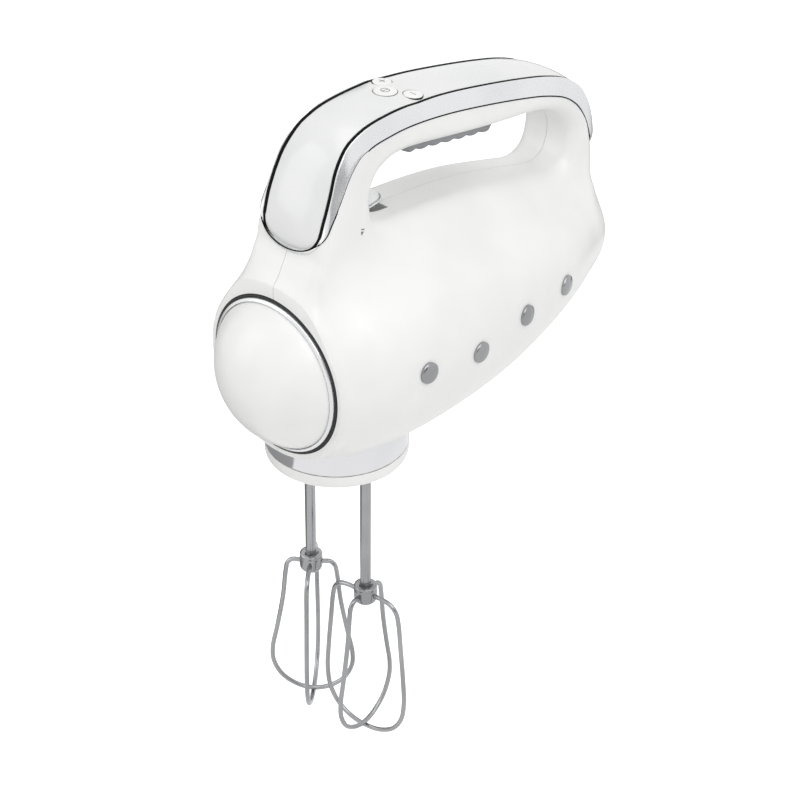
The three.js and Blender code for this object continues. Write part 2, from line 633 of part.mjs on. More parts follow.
const spindleX = BEATER_SPACING / 2;
const socketHole = SPINDLE_RADIUS + RUN + 0.4;
const collarWall = 1.6;
const plateTop = 3;
const basePlate = cut(
  union(
    turnedZ([[0, 0], [BASE_RADIUS - BASE_ROUND, 0], [BASE_RADIUS - BASE_ROUND * 0.3, BASE_ROUND * 0.4],
      [BASE_RADIUS, BASE_ROUND], [BASE_RADIUS, BASE_HEIGHT],
      [BASE_RADIUS - BAND_WALL - GAP, BASE_HEIGHT], [BASE_RADIUS - BAND_WALL - GAP, upstandTop],
      [BASE_RADIUS - 3.6, upstandTop], [BASE_RADIUS - 3.6, plateTop], [0, plateTop]], 0, 0, BIG),
    ...[-1, 1].map((side) => turnedZ(rod(socketHole + collarWall, 0, 10), side * spindleX, 0))),
  ...[-1, 1].map((side) => turnedZ(rod(socketHole, -5, 20), side * spindleX, 0)));

// Screws through the base plate into feet of the gear frame.
const baseScrewSpots = [[0, -23], [16, 21], [-16, 21]];
const footTop = 24;
const screwHead = { radius: 2.9, height: 1.8 };
const baseFeet = baseScrewSpots.map(([x, y]) => turnedZ(rod(4.6, 0, 12), x, y, SMALL));
const baseScrewHoles = baseScrewSpots.flatMap(([x, y]) => [
  turnedZ(rod(screwRadius + GAP, -5, 20), x, y, SMALL),
  turnedZ(rod(screwHead.radius + GAP, -5, 1 + screwHead.height + GAP), x, y, SMALL),
]);
add('base_plate', cut(union(basePlate, ...baseFeet), ...baseScrewHoles), white);
add('base_band', turnedZ(pipe(BASE_RADIUS - 0.1, BASE_RADIUS - BAND_WALL, BASE_HEIGHT + GAP, BAND_TOP_Z),
  0, 0, BIG), chrome);
baseScrewSpots.forEach(([x, y], i) => {
  const driver = solid(new THREE.CylinderGeometry(1.1, 1.1, 2, 6).rotateX(Math.PI / 2).translate(x, y, 1));
  add(`base_screw_${i + 1}`, cut(turnedZ([[0, 1], [screwHead.radius, 1],
    [screwHead.radius, 1 + screwHead.height], [screwRadius, 1 + screwHead.height],
    [screwRadius, 19], [0, 19]], x, y, SMALL), driver), steel);
});

// ---------------------------------------------------------------- gear frame and bushes

const frameFloor = [footTop, footTop + 4];
const lowerBushZ = frameFloor[0] - 1;
const frameRoofZ = WORM_Z + WHEEL_HEIGHT / 2 + 5;
const frameRoof = [frameRoofZ, frameRoofZ + 4];
const frameFrontY = -27;
const frameBackY = 27;
const frameOutline = [
  [frameFrontY, frameFloor[0]], [frameBackY, frameFloor[0]], [frameBackY, frameFloor[1]],
  [frameFrontY + 4, frameFloor[1]], [frameFrontY + 4, frameRoof[0]], [12, frameRoof[0]],
  [12, frameRoof[1]], [frameFrontY, frameRoof[1]],
];
const frontBearing = { outer: 6, inner: MOTOR_SHAFT_RADIUS + GAP };
const frameWidth = 27;
const gearFrame = cut(
  union(sideSlab(frameOutline, null, frameWidth, 0),
    ...baseScrewSpots.map(([x, y]) => turnedZ(rod(4.6, 12 + GAP, frameFloor[1]), x, y, SMALL))),
  ...[-1, 1].flatMap((side) => [
    turnedZ(rod(BUSH_RADIUS + GAP, frameFloor[0] - 5, frameFloor[1] + 5), side * spindleX, 0),
    turnedZ(rod(BUSH_RADIUS - 1 + GAP, frameRoof[0] - 5, frameRoof[1] + 5), side * spindleX, 0),
  ]),
  ...baseScrewSpots.map(([x, y]) => turnedZ(rod(screwRadius + GAP, 5, 20), x, y, SMALL)),
  turnedY(rod(frontBearing.outer + GAP, frameFrontY - 5, frameFrontY + 10), 0, WORM_Z, SMALL),
  turnedZ(rod(2.5 + RUN, frameRoof[0] - 5, frameRoof[1] + 5), 0, 5, 20));
const frameCorners = [-1, 1].map((side) => cut(
  box(60, 60, 80, side * 30, frameFrontY, 50),
  turnedZ(rod(31, 0, 90), 0, 0, 40)));
add('gear_frame', largest(cut(gearFrame, ...frameCorners)), castMetal);

[['right', -1], ['left', 1]].forEach(([name, side]) => {
  const x = side * spindleX;
  add(`lower_bush_${name}`, turnedZ([
    [SPINDLE_RADIUS + GAP, lowerBushZ], [BUSH_RADIUS + 1.2, lowerBushZ],
    [BUSH_RADIUS + 1.2, frameFloor[0] - GAP], [BUSH_RADIUS, frameFloor[0] - GAP],
    [BUSH_RADIUS, frameFloor[1] + 0.4], [SPINDLE_RADIUS + GAP, frameFloor[1] + 0.4]], x, 0, ROUND), bronze);
  add(`upper_bush_${name}`, turnedZ(
    pipe(BUSH_RADIUS - 1, SPINDLE_RADIUS + GAP, frameRoof[0] - 0.5, frameRoof[1] + 0.6), x, 0, ROUND), bronze);
});

// ---------------------------------------------------------------- worm and wheels

const wheelRadius = spindleX - WORM_RADIUS;
const pitch = (2 * Math.PI * wheelRadius) / WHEEL_TEETH;
const threadShare = 0.3;            // width of a thread or tooth at the pitch line, in pitches
const leadAngle = Math.atan(pitch / (2 * Math.PI * WORM_RADIUS));

function wormWheel(side) {
  const half = TOOTH_HEIGHT / 2;
  const shape = new THREE.Shape();
  const step = (2 * Math.PI) / WHEEL_TEETH;
  // On the right the thread is half a pitch further on, so the teeth start half a step later.
  const phase = side > 0 ? Math.PI + step / 2 : 0;
  const toothPoint = (angle, r) => [r * Math.cos(angle), r * Math.sin(angle)];
  for (let i = 0; i < WHEEL_TEETH; i += 1) {
    const middle = phase + i * step;
    const [root, tip] = [step * threadShare * 0.75, step * threadShare * 0.3];
    [[middle - root, wheelRadius - half - 0.3], [middle - tip, wheelRadius + half - 0.25],
      [middle + tip, wheelRadius + half - 0.25], [middle + root, wheelRadius - half - 0.3]]
      .forEach(([angle, r], k) => {
        const [px, py] = toothPoint(angle, r);
        if (i === 0 && k === 0) shape.moveTo(px, py); else shape.lineTo(px, py);
      });
  }
  const layers = 1;
  const geometry = new THREE.ExtrudeGeometry(shape, { depth: WHEEL_HEIGHT, steps: layers, bevelEnabled: false });
  geometry.translate(0, 0, -WHEEL_HEIGHT / 2);
  // Teeth slant with the worm's lead.
  const p = geometry.attributes.position;
  for (let i = 0; i < p.count; i += 1) {
    const twist = side * (p.getZ(i) * Math.tan(leadAngle)) / wheelRadius;
    const [x, y] = [p.getX(i), p.getY(i)];
    p.setXY(i, x * Math.cos(twist) - y * Math.sin(twist), x * Math.sin(twist) + y * Math.cos(twist));
  }
  geometry.translate(side * spindleX, 0, WORM_Z);
  return cut(solid(geometry), turnedZ(rod(SPINDLE_RADIUS + 0.12, 0, 90), side * spindleX, 0, ROUND));
}

// Thread as a height over the core, one start, right-handed.
function wormGeometry() {
  const around = 12;
  const perPitch = 6;
  const rows = WORM_TURNS * perPitch;
  const [core, tip] = [WORM_RADIUS - TOOTH_HEIGHT / 2, WORM_RADIUS + TOOTH_HEIGHT / 2 - 0.2];
  const sections = [];
  for (let j = 0; j <= rows; j += 1) {
    const y = ((j - rows / 2) / perPitch) * pitch;
    const fade = j === 0 || j === rows ? 0 : 1;
    sections.push(Array.from({ length: around }, (_, i) => {
      const angle = (2 * Math.PI * i) / around;
      const turn = y / pitch - angle / (2 * Math.PI);
      const off = Math.abs(turn - Math.round(turn));
      const height = THREE.MathUtils.clamp((threadShare * 0.9 - off) / (threadShare * 0.45), 0, 1) * fade;
      const r = core + (tip - core) * height;
      return new THREE.Vector3(r * Math.cos(angle), y, r * Math.sin(angle));
    }));
  }
  return sections;
}
const worm = loft(wormGeometry()).translate([0, 0, WORM_Z]);

const canBack = CAN_FRONT_Y + CAN_LENGTH;
const shaftFrom = frameFrontY - 3;
const shaftTo = canBack + 17;
const motorShaft = union(worm, turnedY(rod(MOTOR_SHAFT_RADIUS, shaftFrom, shaftTo), 0, WORM_Z, SMALL));
add('motor_shaft', motorShaft, steel);
[['right', -1], ['left', 1]].forEach(([name, side]) => {
  add(`worm_wheel_${name}`, wormWheel(side), nylon);
});

// ---------------------------------------------------------------- spindles

const spindleTop = frameRoof[1] + 3;
const bore = SHAFT_RADIUS + GAP;
const collarZ = WORM_Z - WHEEL_HEIGHT / 2 - GAP;
[['right', -1], ['left', 1]].forEach(([name, side]) => {
  add(`spindle_${name}`, turnedZ([
    [bore, SPINDLE_FOOT_Z], [SPINDLE_RADIUS, SPINDLE_FOOT_Z], [SPINDLE_RADIUS, collarZ - 3],
    [SPINDLE_RADIUS + 2, collarZ - 3], [SPINDLE_RADIUS + 2, collarZ], [SPINDLE_RADIUS, collarZ],
    [SPINDLE_RADIUS, spindleTop], [bore, spindleTop]], side * spindleX, 0, ROUND), steel);
});

// ---------------------------------------------------------------- ejector

// At full stroke the push rods just reach the tops of the beater shafts.
const pushRodFoot = SHAFT_TOP_Z + EJECT_STROKE + RUN;
const bridgeZ = spindleTop + EJECT_STROKE + 2;
const bridgeThickness = 3;
const leverRodTop = LEVER_PIVOT[1] - 4.2;
const bridge = box(BEATER_SPACING + 8, 8, bridgeThickness, 0, 0, bridgeZ + bridgeThickness / 2);
const arm = box(9, ROD_Y + 6, bridgeThickness, 0, (ROD_Y + 1) / 2, bridgeZ + bridgeThickness / 2);
const pushRods = [-1, 1].map((side) => (
  turnedZ(rod(SHAFT_RADIUS - 0.3, pushRodFoot, bridgeZ + 1), side * spindleX, 0, SMALL)));
const guideY = 5;
add('ejector_plate', union(bridge, arm, ...pushRods,
  turnedZ(rod(2.5, frameRoof[0] + 2.6, bridgeZ + 1), 0, guideY, SMALL),
  turnedZ(rod(3, bridgeZ + 1, leverRodTop), 0, ROD_Y, SMALL)), grey);

function springGeometry() {
  const [turns, radius] = [4, 4.3];
  const [from, to] = [frameRoof[1] + 0.9, bridgeZ - 0.9];
  const steps = turns * 10;
  const points = Array.from({ length: steps + 1 }, (_, i) => {
    const angle = (2 * Math.PI * turns * i) / steps;
    const z = from + ((to - from) * i) / steps;
    return new THREE.Vector3(radius * Math.cos(angle), guideY + radius * Math.sin(angle), z);
  });
  return wire(points, 0.5, steps, 4);
}
add('ejector_spring', solid(springGeometry()), steel);

// Lever: a paddle with a rolled lip, hung on a pin in the front post.
const [pivotY, pivotZ] = LEVER_PIVOT;
const leverOutline = [
  [pivotY - 3.4, pivotZ - 1], [pivotY - 1, pivotZ - 3.4], [pivotY + 12, pivotZ - 3.2],
  [pivotY + 18, pivotZ - 3.2], [pivotY + LEVER_REACH - 5, pivotZ - 0.8],
  [pivotY + LEVER_REACH, pivotZ + 1.6], [pivotY + LEVER_REACH - 0.5, pivotZ + 4],
  [pivotY + LEVER_REACH - 7, pivotZ + 4.6], [pivotY + 13, pivotZ + 4.2], [pivotY + 3, pivotZ + 3.2],
  [pivotY - 2.5, pivotZ + 2.5],
];
const leverBore = solid(new THREE.CylinderGeometry(PIN_RADIUS + GAP, PIN_RADIUS + GAP, 60, 16)
  .rotateZ(Math.PI / 2).translate(0, pivotY, pivotZ));
add('eject_lever', cut(sideSlab(leverOutline, null, LEVER_HALF, 0.8, 0, 1), leverBore), satin);
add('lever_pin', solid(new THREE.CylinderGeometry(PIN_RADIUS, PIN_RADIUS, 22, 16)
  .rotateZ(Math.PI / 2).translate(0, pivotY, pivotZ)), steel);

// ---------------------------------------------------------------- motor

add('motor_can', cut(
  turnedY(rod(CAN_RADIUS, CAN_FRONT_Y, canBack), 0, WORM_Z, BIG),
  turnedY(rod(CAN_RADIUS - CAN_WALL, CAN_FRONT_Y + CAN_WALL, canBack - CAN_WALL), 0, WORM_Z, BIG),
  turnedY(rod(7, CAN_FRONT_Y - 5, CAN_FRONT_Y + 5), 0, WORM_Z, SMALL),
  turnedY(rod(6 + GAP, canBack - 5, canBack + 5), 0, WORM_Z, SMALL)), castMetal);
const stackFrom = CAN_FRONT_Y + 9;
const stackTo = stackFrom + 26;
add('stator', cut(
  turnedY(pipe(CAN_RADIUS - CAN_WALL - GAP, ARMATURE_RADIUS + RUN + 0.4, stackFrom, stackTo), 0, WORM_Z, ROUND),
  box(5, 60, 16, 0, stackFrom + 13, WORM_Z + 16), box(5, 60, 16, 0, stackFrom + 13, WORM_Z - 16)
    .intersect(box(60, 20, 60, 0, stackFrom, WORM_Z))), grey);
const armatureSlots = Array.from({ length: 8 }, (_, i) => {
  const angle = (2 * Math.PI * i) / 8;
  const slot = new THREE.BoxGeometry(2.2, 60, 5).translate(0, stackFrom + 13, ARMATURE_RADIUS - 1.4);
  return solid(slot.rotateY(angle).translate(0, 0, WORM_Z));
});
add('armature', cut(
  turnedY(pipe(ARMATURE_RADIUS, MOTOR_SHAFT_RADIUS + 0.12, stackFrom, stackTo), 0, WORM_Z, ROUND),
  ...armatureSlots), copper);
const commutatorFrom = stackTo + 3;
add('commutator', turnedY(pipe(7.5, MOTOR_SHAFT_RADIUS + 0.12, commutatorFrom, commutatorFrom + 12), 0, WORM_Z, SMALL), copper);
add('front_bearing', turnedY(pipe(frontBearing.outer, frontBearing.inner, frameFrontY, frameFrontY + 5),
  0, WORM_Z, SMALL), bronze);
add('rear_bearing', turnedY(pipe(6, MOTOR_SHAFT_RADIUS + GAP, canBack - 4, canBack + 1), 0, WORM_Z, SMALL), bronze);
[['right', -1], ['left', 1]].forEach(([name, side]) => {
  const y = commutatorFrom + 6;
  const reach = CAN_RADIUS - CAN_WALL - GAP;
  add(`brush_${name}`, box(8, 5, 4, side * (7.5 + GAP + 4.2), y, WORM_Z), carbon);
  const holderFrom = 9;
  const holder = cut(
    box(reach - holderFrom - 1, 8, 7.4, side * (holderFrom + reach - 1) / 2, y, WORM_Z),
    box(30, 5 + 2 * GAP, 4 + 2 * GAP, side * 12, y, WORM_Z));
  const inside = turnedY(rod(reach, CAN_FRONT_Y, canBack), 0, WORM_Z, BIG);
  add(`brush_holder_${name}`, holder.intersect(inside), bronze);
});

const fanFrom = canBack + 4;
const blades = Array.from({ length: 9 }, (_, i) => {
  const blade = new THREE.BoxGeometry(1.4, 7, FAN_RADIUS - 5).translate(0, 3.5, (FAN_RADIUS + 3) / 2);
  return solid(blade.rotateY((2 * Math.PI * i) / 9).translate(0, fanFrom, WORM_Z));
});
add('fan', cut(
  union(turnedY(rod(6, fanFrom, fanFrom + 9), 0, WORM_Z, SMALL),
    turnedY(rod(FAN_RADIUS, fanFrom + 6, fanFrom + 7.4), 0, WORM_Z, ROUND), ...blades),
  turnedY(rod(MOTOR_SHAFT_RADIUS + 0.12, fanFrom - 5, fanFrom + 20), 0, WORM_Z, SMALL)), nylon);

// ---------------------------------------------------------------- board, heel, gland

add('power_board', union(
  box(34, boardLength, BOARD_THICKNESS, 0, boardY, boardZ + GAP + BOARD_THICKNESS / 2),
  box(12, 9, 8, -6, boardY - 6, boardZ + GAP + BOARD_THICKNESS + 3.9),
  turnedZ(rod(5, boardZ + 1, boardZ + 12), 8, boardY + 5, 20)), circuit);
const heelFootRadius = 14.5;
const heelHeads = [-1, 1].map((side) => turnedY(rod(screwHead.radius + GAP, BODY_HEEL_Y - 1.6 - GAP,
  BODY_HEEL_Y + 5), side * heelScrewX, BODY_AXIS_Z, SMALL));
const footSlot = turnedY(pipe(HEEL_PLATE_RADIUS - 1.6 + GAP, HEEL_PLATE_RADIUS - 4.2 - GAP,
  BODY_HEEL_Y - 1, BODY_HEEL_Y + 5), 0, BODY_AXIS_Z, ROUND);
add('heel_plate', cut(
  turnedY(rod(HEEL_PLATE_RADIUS, BODY_HEEL_Y - HEEL_PLATE_THICKNESS, BODY_HEEL_Y), 0, BODY_AXIS_Z, ROUND),
  ...heelHeads, ...heelBores, footSlot), white);
add('heel_foot', turnedY(pipe(HEEL_PLATE_RADIUS - 1.6, HEEL_PLATE_RADIUS - 4.2,
  BODY_HEEL_Y - 1 + GAP, BODY_HEEL_Y + HEEL_FOOT_RISE), 0, BODY_AXIS_Z, ROUND), rubber);
[['right', -1], ['left', 1]].forEach(([name, side]) => {
  const headY = BODY_HEEL_Y - 1.6;
  add(`heel_screw_${name}`, turnedY([[0, heelBossY + 1.2], [screwRadius, heelBossY + 1.2],
    [screwRadius, headY], [screwHead.radius, headY], [screwHead.radius, BODY_HEEL_Y - 0.2],
    [0, BODY_HEEL_Y - 0.2]], side * heelScrewX, BODY_AXIS_Z, SMALL), steel);
});
const glandFoot = glandZ - 1.5;
add('cord_gland', turnedZ([
  [glandPlace.bore, glandFoot], [glandPlace.radius, glandFoot], [glandPlace.radius, glandFoot + 9],
  [glandPlace.bore, glandFoot + 9]], 0, glandPlace.y, 24), black);

// ---------------------------------------------------------------- beaters

// Half outline of a wire loop in its own plane: [distance from axis, z].
const WIDE_LOOP = [
  [3.3, HUB_Z], [6, HUB_Z], [10.5, HUB_Z], [15.5, HUB_Z - 1.2], [18.8, HUB_Z - 4.6], [20.2, HUB_Z - 10],
  [21.8, HUB_Z - 26], [23.4, HUB_Z - 44], [24.2, HUB_Z - 60], [22.6, HUB_Z - 71], [17.6, HUB_Z - 79.6],
  [9, HUB_Z - 85.4],
];
const PEAR_LOOP = [
  [3.3, HUB_Z], [6, HUB_Z], [9.6, HUB_Z], [12, HUB_Z - 2.2], [13, HUB_Z - 7], [14.8, HUB_Z - 24],
  [18.2, HUB_Z - 44], [20.8, HUB_Z - 58], [20.4, HUB_Z - 67], [16, HUB_Z - 76], [8, HUB_Z - 82],
];
const wireCross = 2 * WIRE_RADIUS + GAP + 0.2;

function loopPoints(half, lowest, angle, x) {
  const flat = [...half, [0, lowest], ...half.map(([r, z]) => [-r, z]).reverse()];
  return flat.map(([r, z]) => new THREE.Vector3(x + r * Math.cos(angle), r * Math.sin(angle), z));
}

function hubSolid(x, angles) {
  const [low, high] = [HUB_Z - HUB_HEIGHT / 2, HUB_Z + HUB_HEIGHT / 2];
  const drum = turnedZ([
    [SHAFT_RADIUS + GAP, low], [HUB_RADIUS - 2, low], [HUB_RADIUS, low + 2], [HUB_RADIUS, high - 0.8],
    [HUB_RADIUS - 0.6, high], [SHAFT_RADIUS + 1.4, high], [SHAFT_RADIUS + GAP, high - 1.4]], x, 0, ROUND);
  const holes = angles.map((angle) => solid(
    new THREE.CylinderGeometry(WIRE_RADIUS + GAP, WIRE_RADIUS + GAP, 4 * HUB_RADIUS, 8)
      .rotateZ(Math.PI / 2).rotateZ(angle).translate(x, 0, HUB_Z)));
  return cut(drum, ...holes);
}

[['right', -1], ['left', 1]].forEach(([name, side]) => {
  const x = side * spindleX;
  const first = THREE.MathUtils.degToRad(REST_ANGLE[name]);
  const crossed = first + Math.PI / 2;
  // At rest the wide loop of one beater faces the pear loop of the other.
  const [wideAngle, pearAngle] = side < 0 ? [crossed, first] : [first, crossed];
  add(`beater_shaft_${name}`, turnedZ([
    [0, HUB_Z - HUB_HEIGHT / 2 + 0.6], [SHAFT_RADIUS, HUB_Z - HUB_HEIGHT / 2 + 0.6],
    [SHAFT_RADIUS, 20], [SHAFT_RADIUS - 0.5, 21], [SHAFT_RADIUS - 0.5, 23], [SHAFT_RADIUS, 24],
    [SHAFT_RADIUS, SHAFT_TOP_Z - 1], [SHAFT_RADIUS - 1, SHAFT_TOP_Z], [0, SHAFT_TOP_Z]], x, 0, SMALL), steel);
  add(`beater_hub_${name}`, hubSolid(x, [wideAngle, pearAngle]), steel);
  add(`wide_loop_${name}`, solid(wire(
    loopPoints(WIDE_LOOP, LOOP_BOTTOM_Z, wideAngle, x), WIRE_RADIUS, 34)), steel);
  add(`pear_loop_${name}`, solid(wire(
    loopPoints(PEAR_LOOP, LOOP_BOTTOM_Z + wireCross, pearAngle, x), WIRE_RADIUS, 46)), steel);
});

export default mixer;
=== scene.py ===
# Hand mixer: shells, cover, trim, keys, dome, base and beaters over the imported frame.
import math

import bpy
import numpy as np
from mathutils import Matrix, Vector


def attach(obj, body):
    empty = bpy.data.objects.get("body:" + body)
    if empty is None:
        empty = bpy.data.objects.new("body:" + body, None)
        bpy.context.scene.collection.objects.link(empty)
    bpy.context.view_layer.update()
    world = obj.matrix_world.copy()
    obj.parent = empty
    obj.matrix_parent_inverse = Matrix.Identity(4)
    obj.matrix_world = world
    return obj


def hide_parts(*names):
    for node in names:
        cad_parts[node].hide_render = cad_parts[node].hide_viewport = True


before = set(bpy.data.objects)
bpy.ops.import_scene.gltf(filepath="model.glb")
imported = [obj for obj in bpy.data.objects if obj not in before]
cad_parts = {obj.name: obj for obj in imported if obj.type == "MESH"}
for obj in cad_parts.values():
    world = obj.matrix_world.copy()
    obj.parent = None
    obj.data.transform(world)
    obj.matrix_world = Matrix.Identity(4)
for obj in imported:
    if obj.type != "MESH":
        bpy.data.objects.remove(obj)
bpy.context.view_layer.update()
MM = 0.001

# ------------------------------------------------------------------ lines and sizes, mm

BODY_AXIS_Z = 60.3
BODY_FRONT_Y = -39.6
BODY_HEEL_Y = 171.0
BASE_RADIUS = 34.8
SPINDLE_X = 19.0
HUB_Z = -77.0
LOOP_FOOT_Z = -163.4
WALL = 2.4
SEAM_HALF = 0.12
LEVER_PIN = (0.0, -1.0, 127.5)
LEVER_PIN_HOLE = 1.8
LEVER_ROOM_HALF, LEVER_ROOM_FLOOR, LEVER_ROOM_REAR = 6.9, 112.0, 27.4
PUSH_ROD_REAR = 18.8

# Radius of the body against its length: [y, radius].
BARREL = [
    (-39.6, 41.6), (-37.9, 43.3), (-33.9, 44.6), (-29.1, 46.7), (-19.6, 50.1), (-5.9, 52.5),
    (9.9, 53.8), (25.7, 54.2), (42.5, 53.9), (60.4, 52.9), (78.3, 51.0), (96.2, 48.0), (114.1, 44.1),
    (129.9, 40.0), (143.6, 35.6), (155.2, 31.2), (162.2, 28.7), (167.8, 26.0), (170.3, 24.3), (171, 23),
]
# Crown of the handle seen from the side, from the neck over the top to the heel: [y, z].
CROWN = [
    (-29.9, 122.6), (-28.9, 128.0), (-27.0, 134.0), (-24.9, 140.5), (-22.3, 147.0), (-19.8, 153.0),
    (-15.8, 161.2), (-8.2, 169.4), (0.0, 173.1), (8.0, 174.9), (28.4, 175.8), (54.1, 173.4),
    (81.7, 168.6), (110.1, 162.5), (128.2, 157.7), (142.6, 152.0), (153.9, 143.5), (161.5, 131.1),
    (165.3, 115.9), (167.2, 100.1),
]
# Hand opening seen from the side: [y, z].
OPENING = [
    (9.9, 128.0), (7.6, 134.2), (7.2, 141.2), (10.5, 147.2), (18.1, 151.9), (28.0, 153.4),
    (40.9, 152.1), (57.9, 149.4), (75.4, 146.6), (88.9, 144.6), (104.0, 142.7), (115.0, 141.5),
    (130.1, 138.5), (141.9, 132.7), (148.5, 123.6), (148.3, 113.4), (144.0, 105.9), (135.2, 102.5),
    (118.1, 106.5), (84.4, 115.5), (56.0, 120.0), (32.0, 122.0), (18.3, 123.8),
]


def smooth_line(points, closed=False, each=10):
    """Centripetal Catmull-Rom line through the points, as an array of [y, z]."""
    p = np.array(points, float)
    if closed:
        p = np.vstack([p[-1], p, p[0], p[1]])
    else:
        p = np.vstack([2 * p[0] - p[1], p, 2 * p[-1] - p[-2]])
    line = []
    for a, b, c, d in zip(p[:-3], p[1:-2], p[2:-1], p[3:]):
        knots = np.cumsum([0] + [math.sqrt(np.linalg.norm(q)) for q in (b - a, c - b, d - c)])
        t = np.linspace(knots[1], knots[2], each, endpoint=False)[:, None]
        mix = lambda u, v, i, j: (u * (knots[j] - t) + v * (t - knots[i])) / (knots[j] - knots[i])
        ab, bc, cd = mix(a, b, 0, 1), mix(b, c, 1, 2), mix(c, d, 2, 3)
        line.append(mix(mix(ab, bc, 0, 2), mix(bc, cd, 1, 3), 1, 2))
    line = np.vstack(line)
    return line if closed else np.vstack([line, p[-2]])


crown_line = smooth_line(CROWN, each=16)
crown_steps = np.r_[0, np.cumsum(np.linalg.norm(np.diff(crown_line, axis=0), axis=1))]
CROWN_LENGTH = crown_steps[-1]
crown_slope = np.gradient(crown_line, crown_steps, axis=0)
crown_slope /= np.linalg.norm(crown_slope, axis=1)[:, None]


def on_crown(s, x, n):
    """Points on the crown: s along it, x to the left, n above it (arrays or numbers, mm)."""
    s, x, n = np.broadcast_arrays(np.asarray(s, float), x, n)
    inside = np.clip(s, 0, CROWN_LENGTH)
    y = np.interp(inside, crown_steps, crown_line[:, 0])
    z = np.interp(inside, crown_steps, crown_line[:, 1])
    ty = np.interp(inside, crown_steps, crown_slope[:, 0])
    tz = np.interp(inside, crown_steps, crown_slope[:, 1])
    beyond = s - inside
    return np.stack([x + 0 * s, y + ty * beyond - tz * n, z + tz * beyond + ty * n], axis=-1)


def crown_at(y):
    """Arc length of the upper crown point at a given y."""
    top = (crown_line[:, 1] > 150) & (crown_line[:, 0] > -5)
    return float(np.interp(y, crown_line[top, 0], crown_steps[top]))


# ------------------------------------------------------------------ modelling helpers

def pick(*objects):
    if bpy.context.mode != "OBJECT":
        bpy.ops.object.mode_set(mode="OBJECT")
    bpy.ops.object.select_all(action="DESELECT")
    for obj in objects:
        obj.select_set(True)
        bpy.context.view_layer.objects.active = obj
    return objects[0] if objects else None


def in_edit_mode(obj, *steps):
    """Runs mesh operators on everything in the object."""
    pick(obj)
    bpy.ops.object.mode_set(mode="EDIT")
    bpy.ops.mesh.select_all(action="SELECT")
    for step in steps:
        step()
    bpy.ops.object.mode_set(mode="OBJECT")


def merge_and_face_out(distance=2e-6):
    bpy.ops.mesh.remove_doubles(threshold=distance)
    bpy.ops.mesh.normals_make_consistent(inside=False)


def mesh_from(name, points, faces):
    """A piece whose surface is worked out point by point, in mm."""
    mesh = bpy.data.meshes.new(name)
    mesh.from_pydata((np.asarray(points) * MM).tolist(), [], [tuple(f) for f in faces])
    obj = bpy.data.objects.new(name, mesh)
    bpy.context.collection.objects.link(obj)
    return obj


def looped_skin(name, loops, closed_around=False):
    """Skin through closed loops of equal length; the loops may run round to the first again."""
    count, width = len(loops), len(loops[0])
    points = np.vstack(loops)
    faces = []
    for i in range(count if closed_around else count - 1):
        for j in range(width):
            a, b = i * width, ((i + 1) % count) * width
            k = (j + 1) % width
            faces.append((a + j, a + k, b + k, b + j))
    obj = mesh_from(name, points, faces)
    in_edit_mode(obj, merge_and_face_out)
    return obj


def softened(corners, steps=4):
    """Corner list with each corner rounded: [a, b, radius] or [a, b] for a sharp one."""
    out = []
    n = len(corners)
    for i, corner in enumerate(corners):
        p = np.array(corner[:2], float)
        if len(corner) < 3:
            out.append(p)
            continue
        before, after = (np.array(corners[(i + k) % n][:2], float) for k in (-1, 1))
        legs = []
        for q in (before, after):
            length = np.linalg.norm(q - p)
            legs.append(p + (q - p) * min(corner[2], length * 0.49) / length)
        for t in np.linspace(0, 1, steps + 1):
            out.append((1 - t) ** 2 * legs[0] + 2 * t * (1 - t) * p + t ** 2 * legs[1])
    return out


def turned(name, profile, axis="Z", centre=(0, 0, 0), steps=96):
    """Profile of [radius, height] corners spun about an axis through centre, in mm."""
    points = softened(profile)
    pick()
    bpy.ops.mesh.primitive_circle_add(vertices=len(points), radius=0.01, location=(0, 0, 0))
    obj = bpy.context.object
    obj.name = obj.data.name = name
    for vertex, (r, h) in zip(obj.data.vertices, points):
        vertex.co = Vector((r, 0, h) if axis == "Z" else (r, h, 0)) * MM + Vector(centre) * MM
    line = (0, 0, 1) if axis == "Z" else (0, 1, 0)
    in_edit_mode(
        obj,
        lambda: bpy.ops.mesh.spin(steps=steps, angle=2 * math.pi, center=Vector(centre) * MM, axis=line),
        merge_and_face_out)
    return obj


def drum(name, radius, low, high, centre=(0, 0, 0), axis="Z", vertices=64):
    """Plain cutting cylinder between two heights along its axis."""
    pick()
    middle = (low + high) / 2
    x, y, z = centre
    place = (x, y, middle) if axis == "Z" else (x, middle, z)
    turn = (0, 0, 0) if axis == "Z" else (math.pi / 2, 0, 0)
    bpy.ops.mesh.primitive_cylinder_add(
        vertices=vertices, radius=radius * MM, depth=(high - low) * MM,
        location=Vector(place) * MM, rotation=turn)
    obj = bpy.context.object
    obj.name = name
    bpy.ops.object.transform_apply(location=True, rotation=True, scale=True)
    return obj


def block(name, low, high):
    """Plain box between two corners, in mm."""
    pick()
    low, high = np.array(low, float), np.array(high, float)
    bpy.ops.mesh.primitive_cube_add(size=1, location=(low + high) / 2 * MM, scale=(high - low) * MM)
    obj = bpy.context.object
    obj.name = name
    bpy.ops.object.transform_apply(location=True, rotation=True, scale=True)
    return obj


def carve(obj, *tools, operation="DIFFERENCE"):
    """Boolean modifiers, applied in turn; the tools are removed."""
    for tool in tools:
        pick(obj)
        modifier = obj.modifiers.new("carve", "BOOLEAN")
        modifier.operation, modifier.solver, modifier.object = operation, "MANIFOLD", tool
        bpy.ops.object.modifier_apply(modifier=modifier.name)
        bpy.data.objects.remove(tool, do_unlink=True)
    return obj


def smooth(obj, degrees=35):
    pick(obj)
    bpy.ops.object.shade_smooth_by_angle(angle=math.radians(degrees))
    return obj


def moved(obj, matrix):
    obj.data.transform(matrix)
    obj.data.update()
    return obj


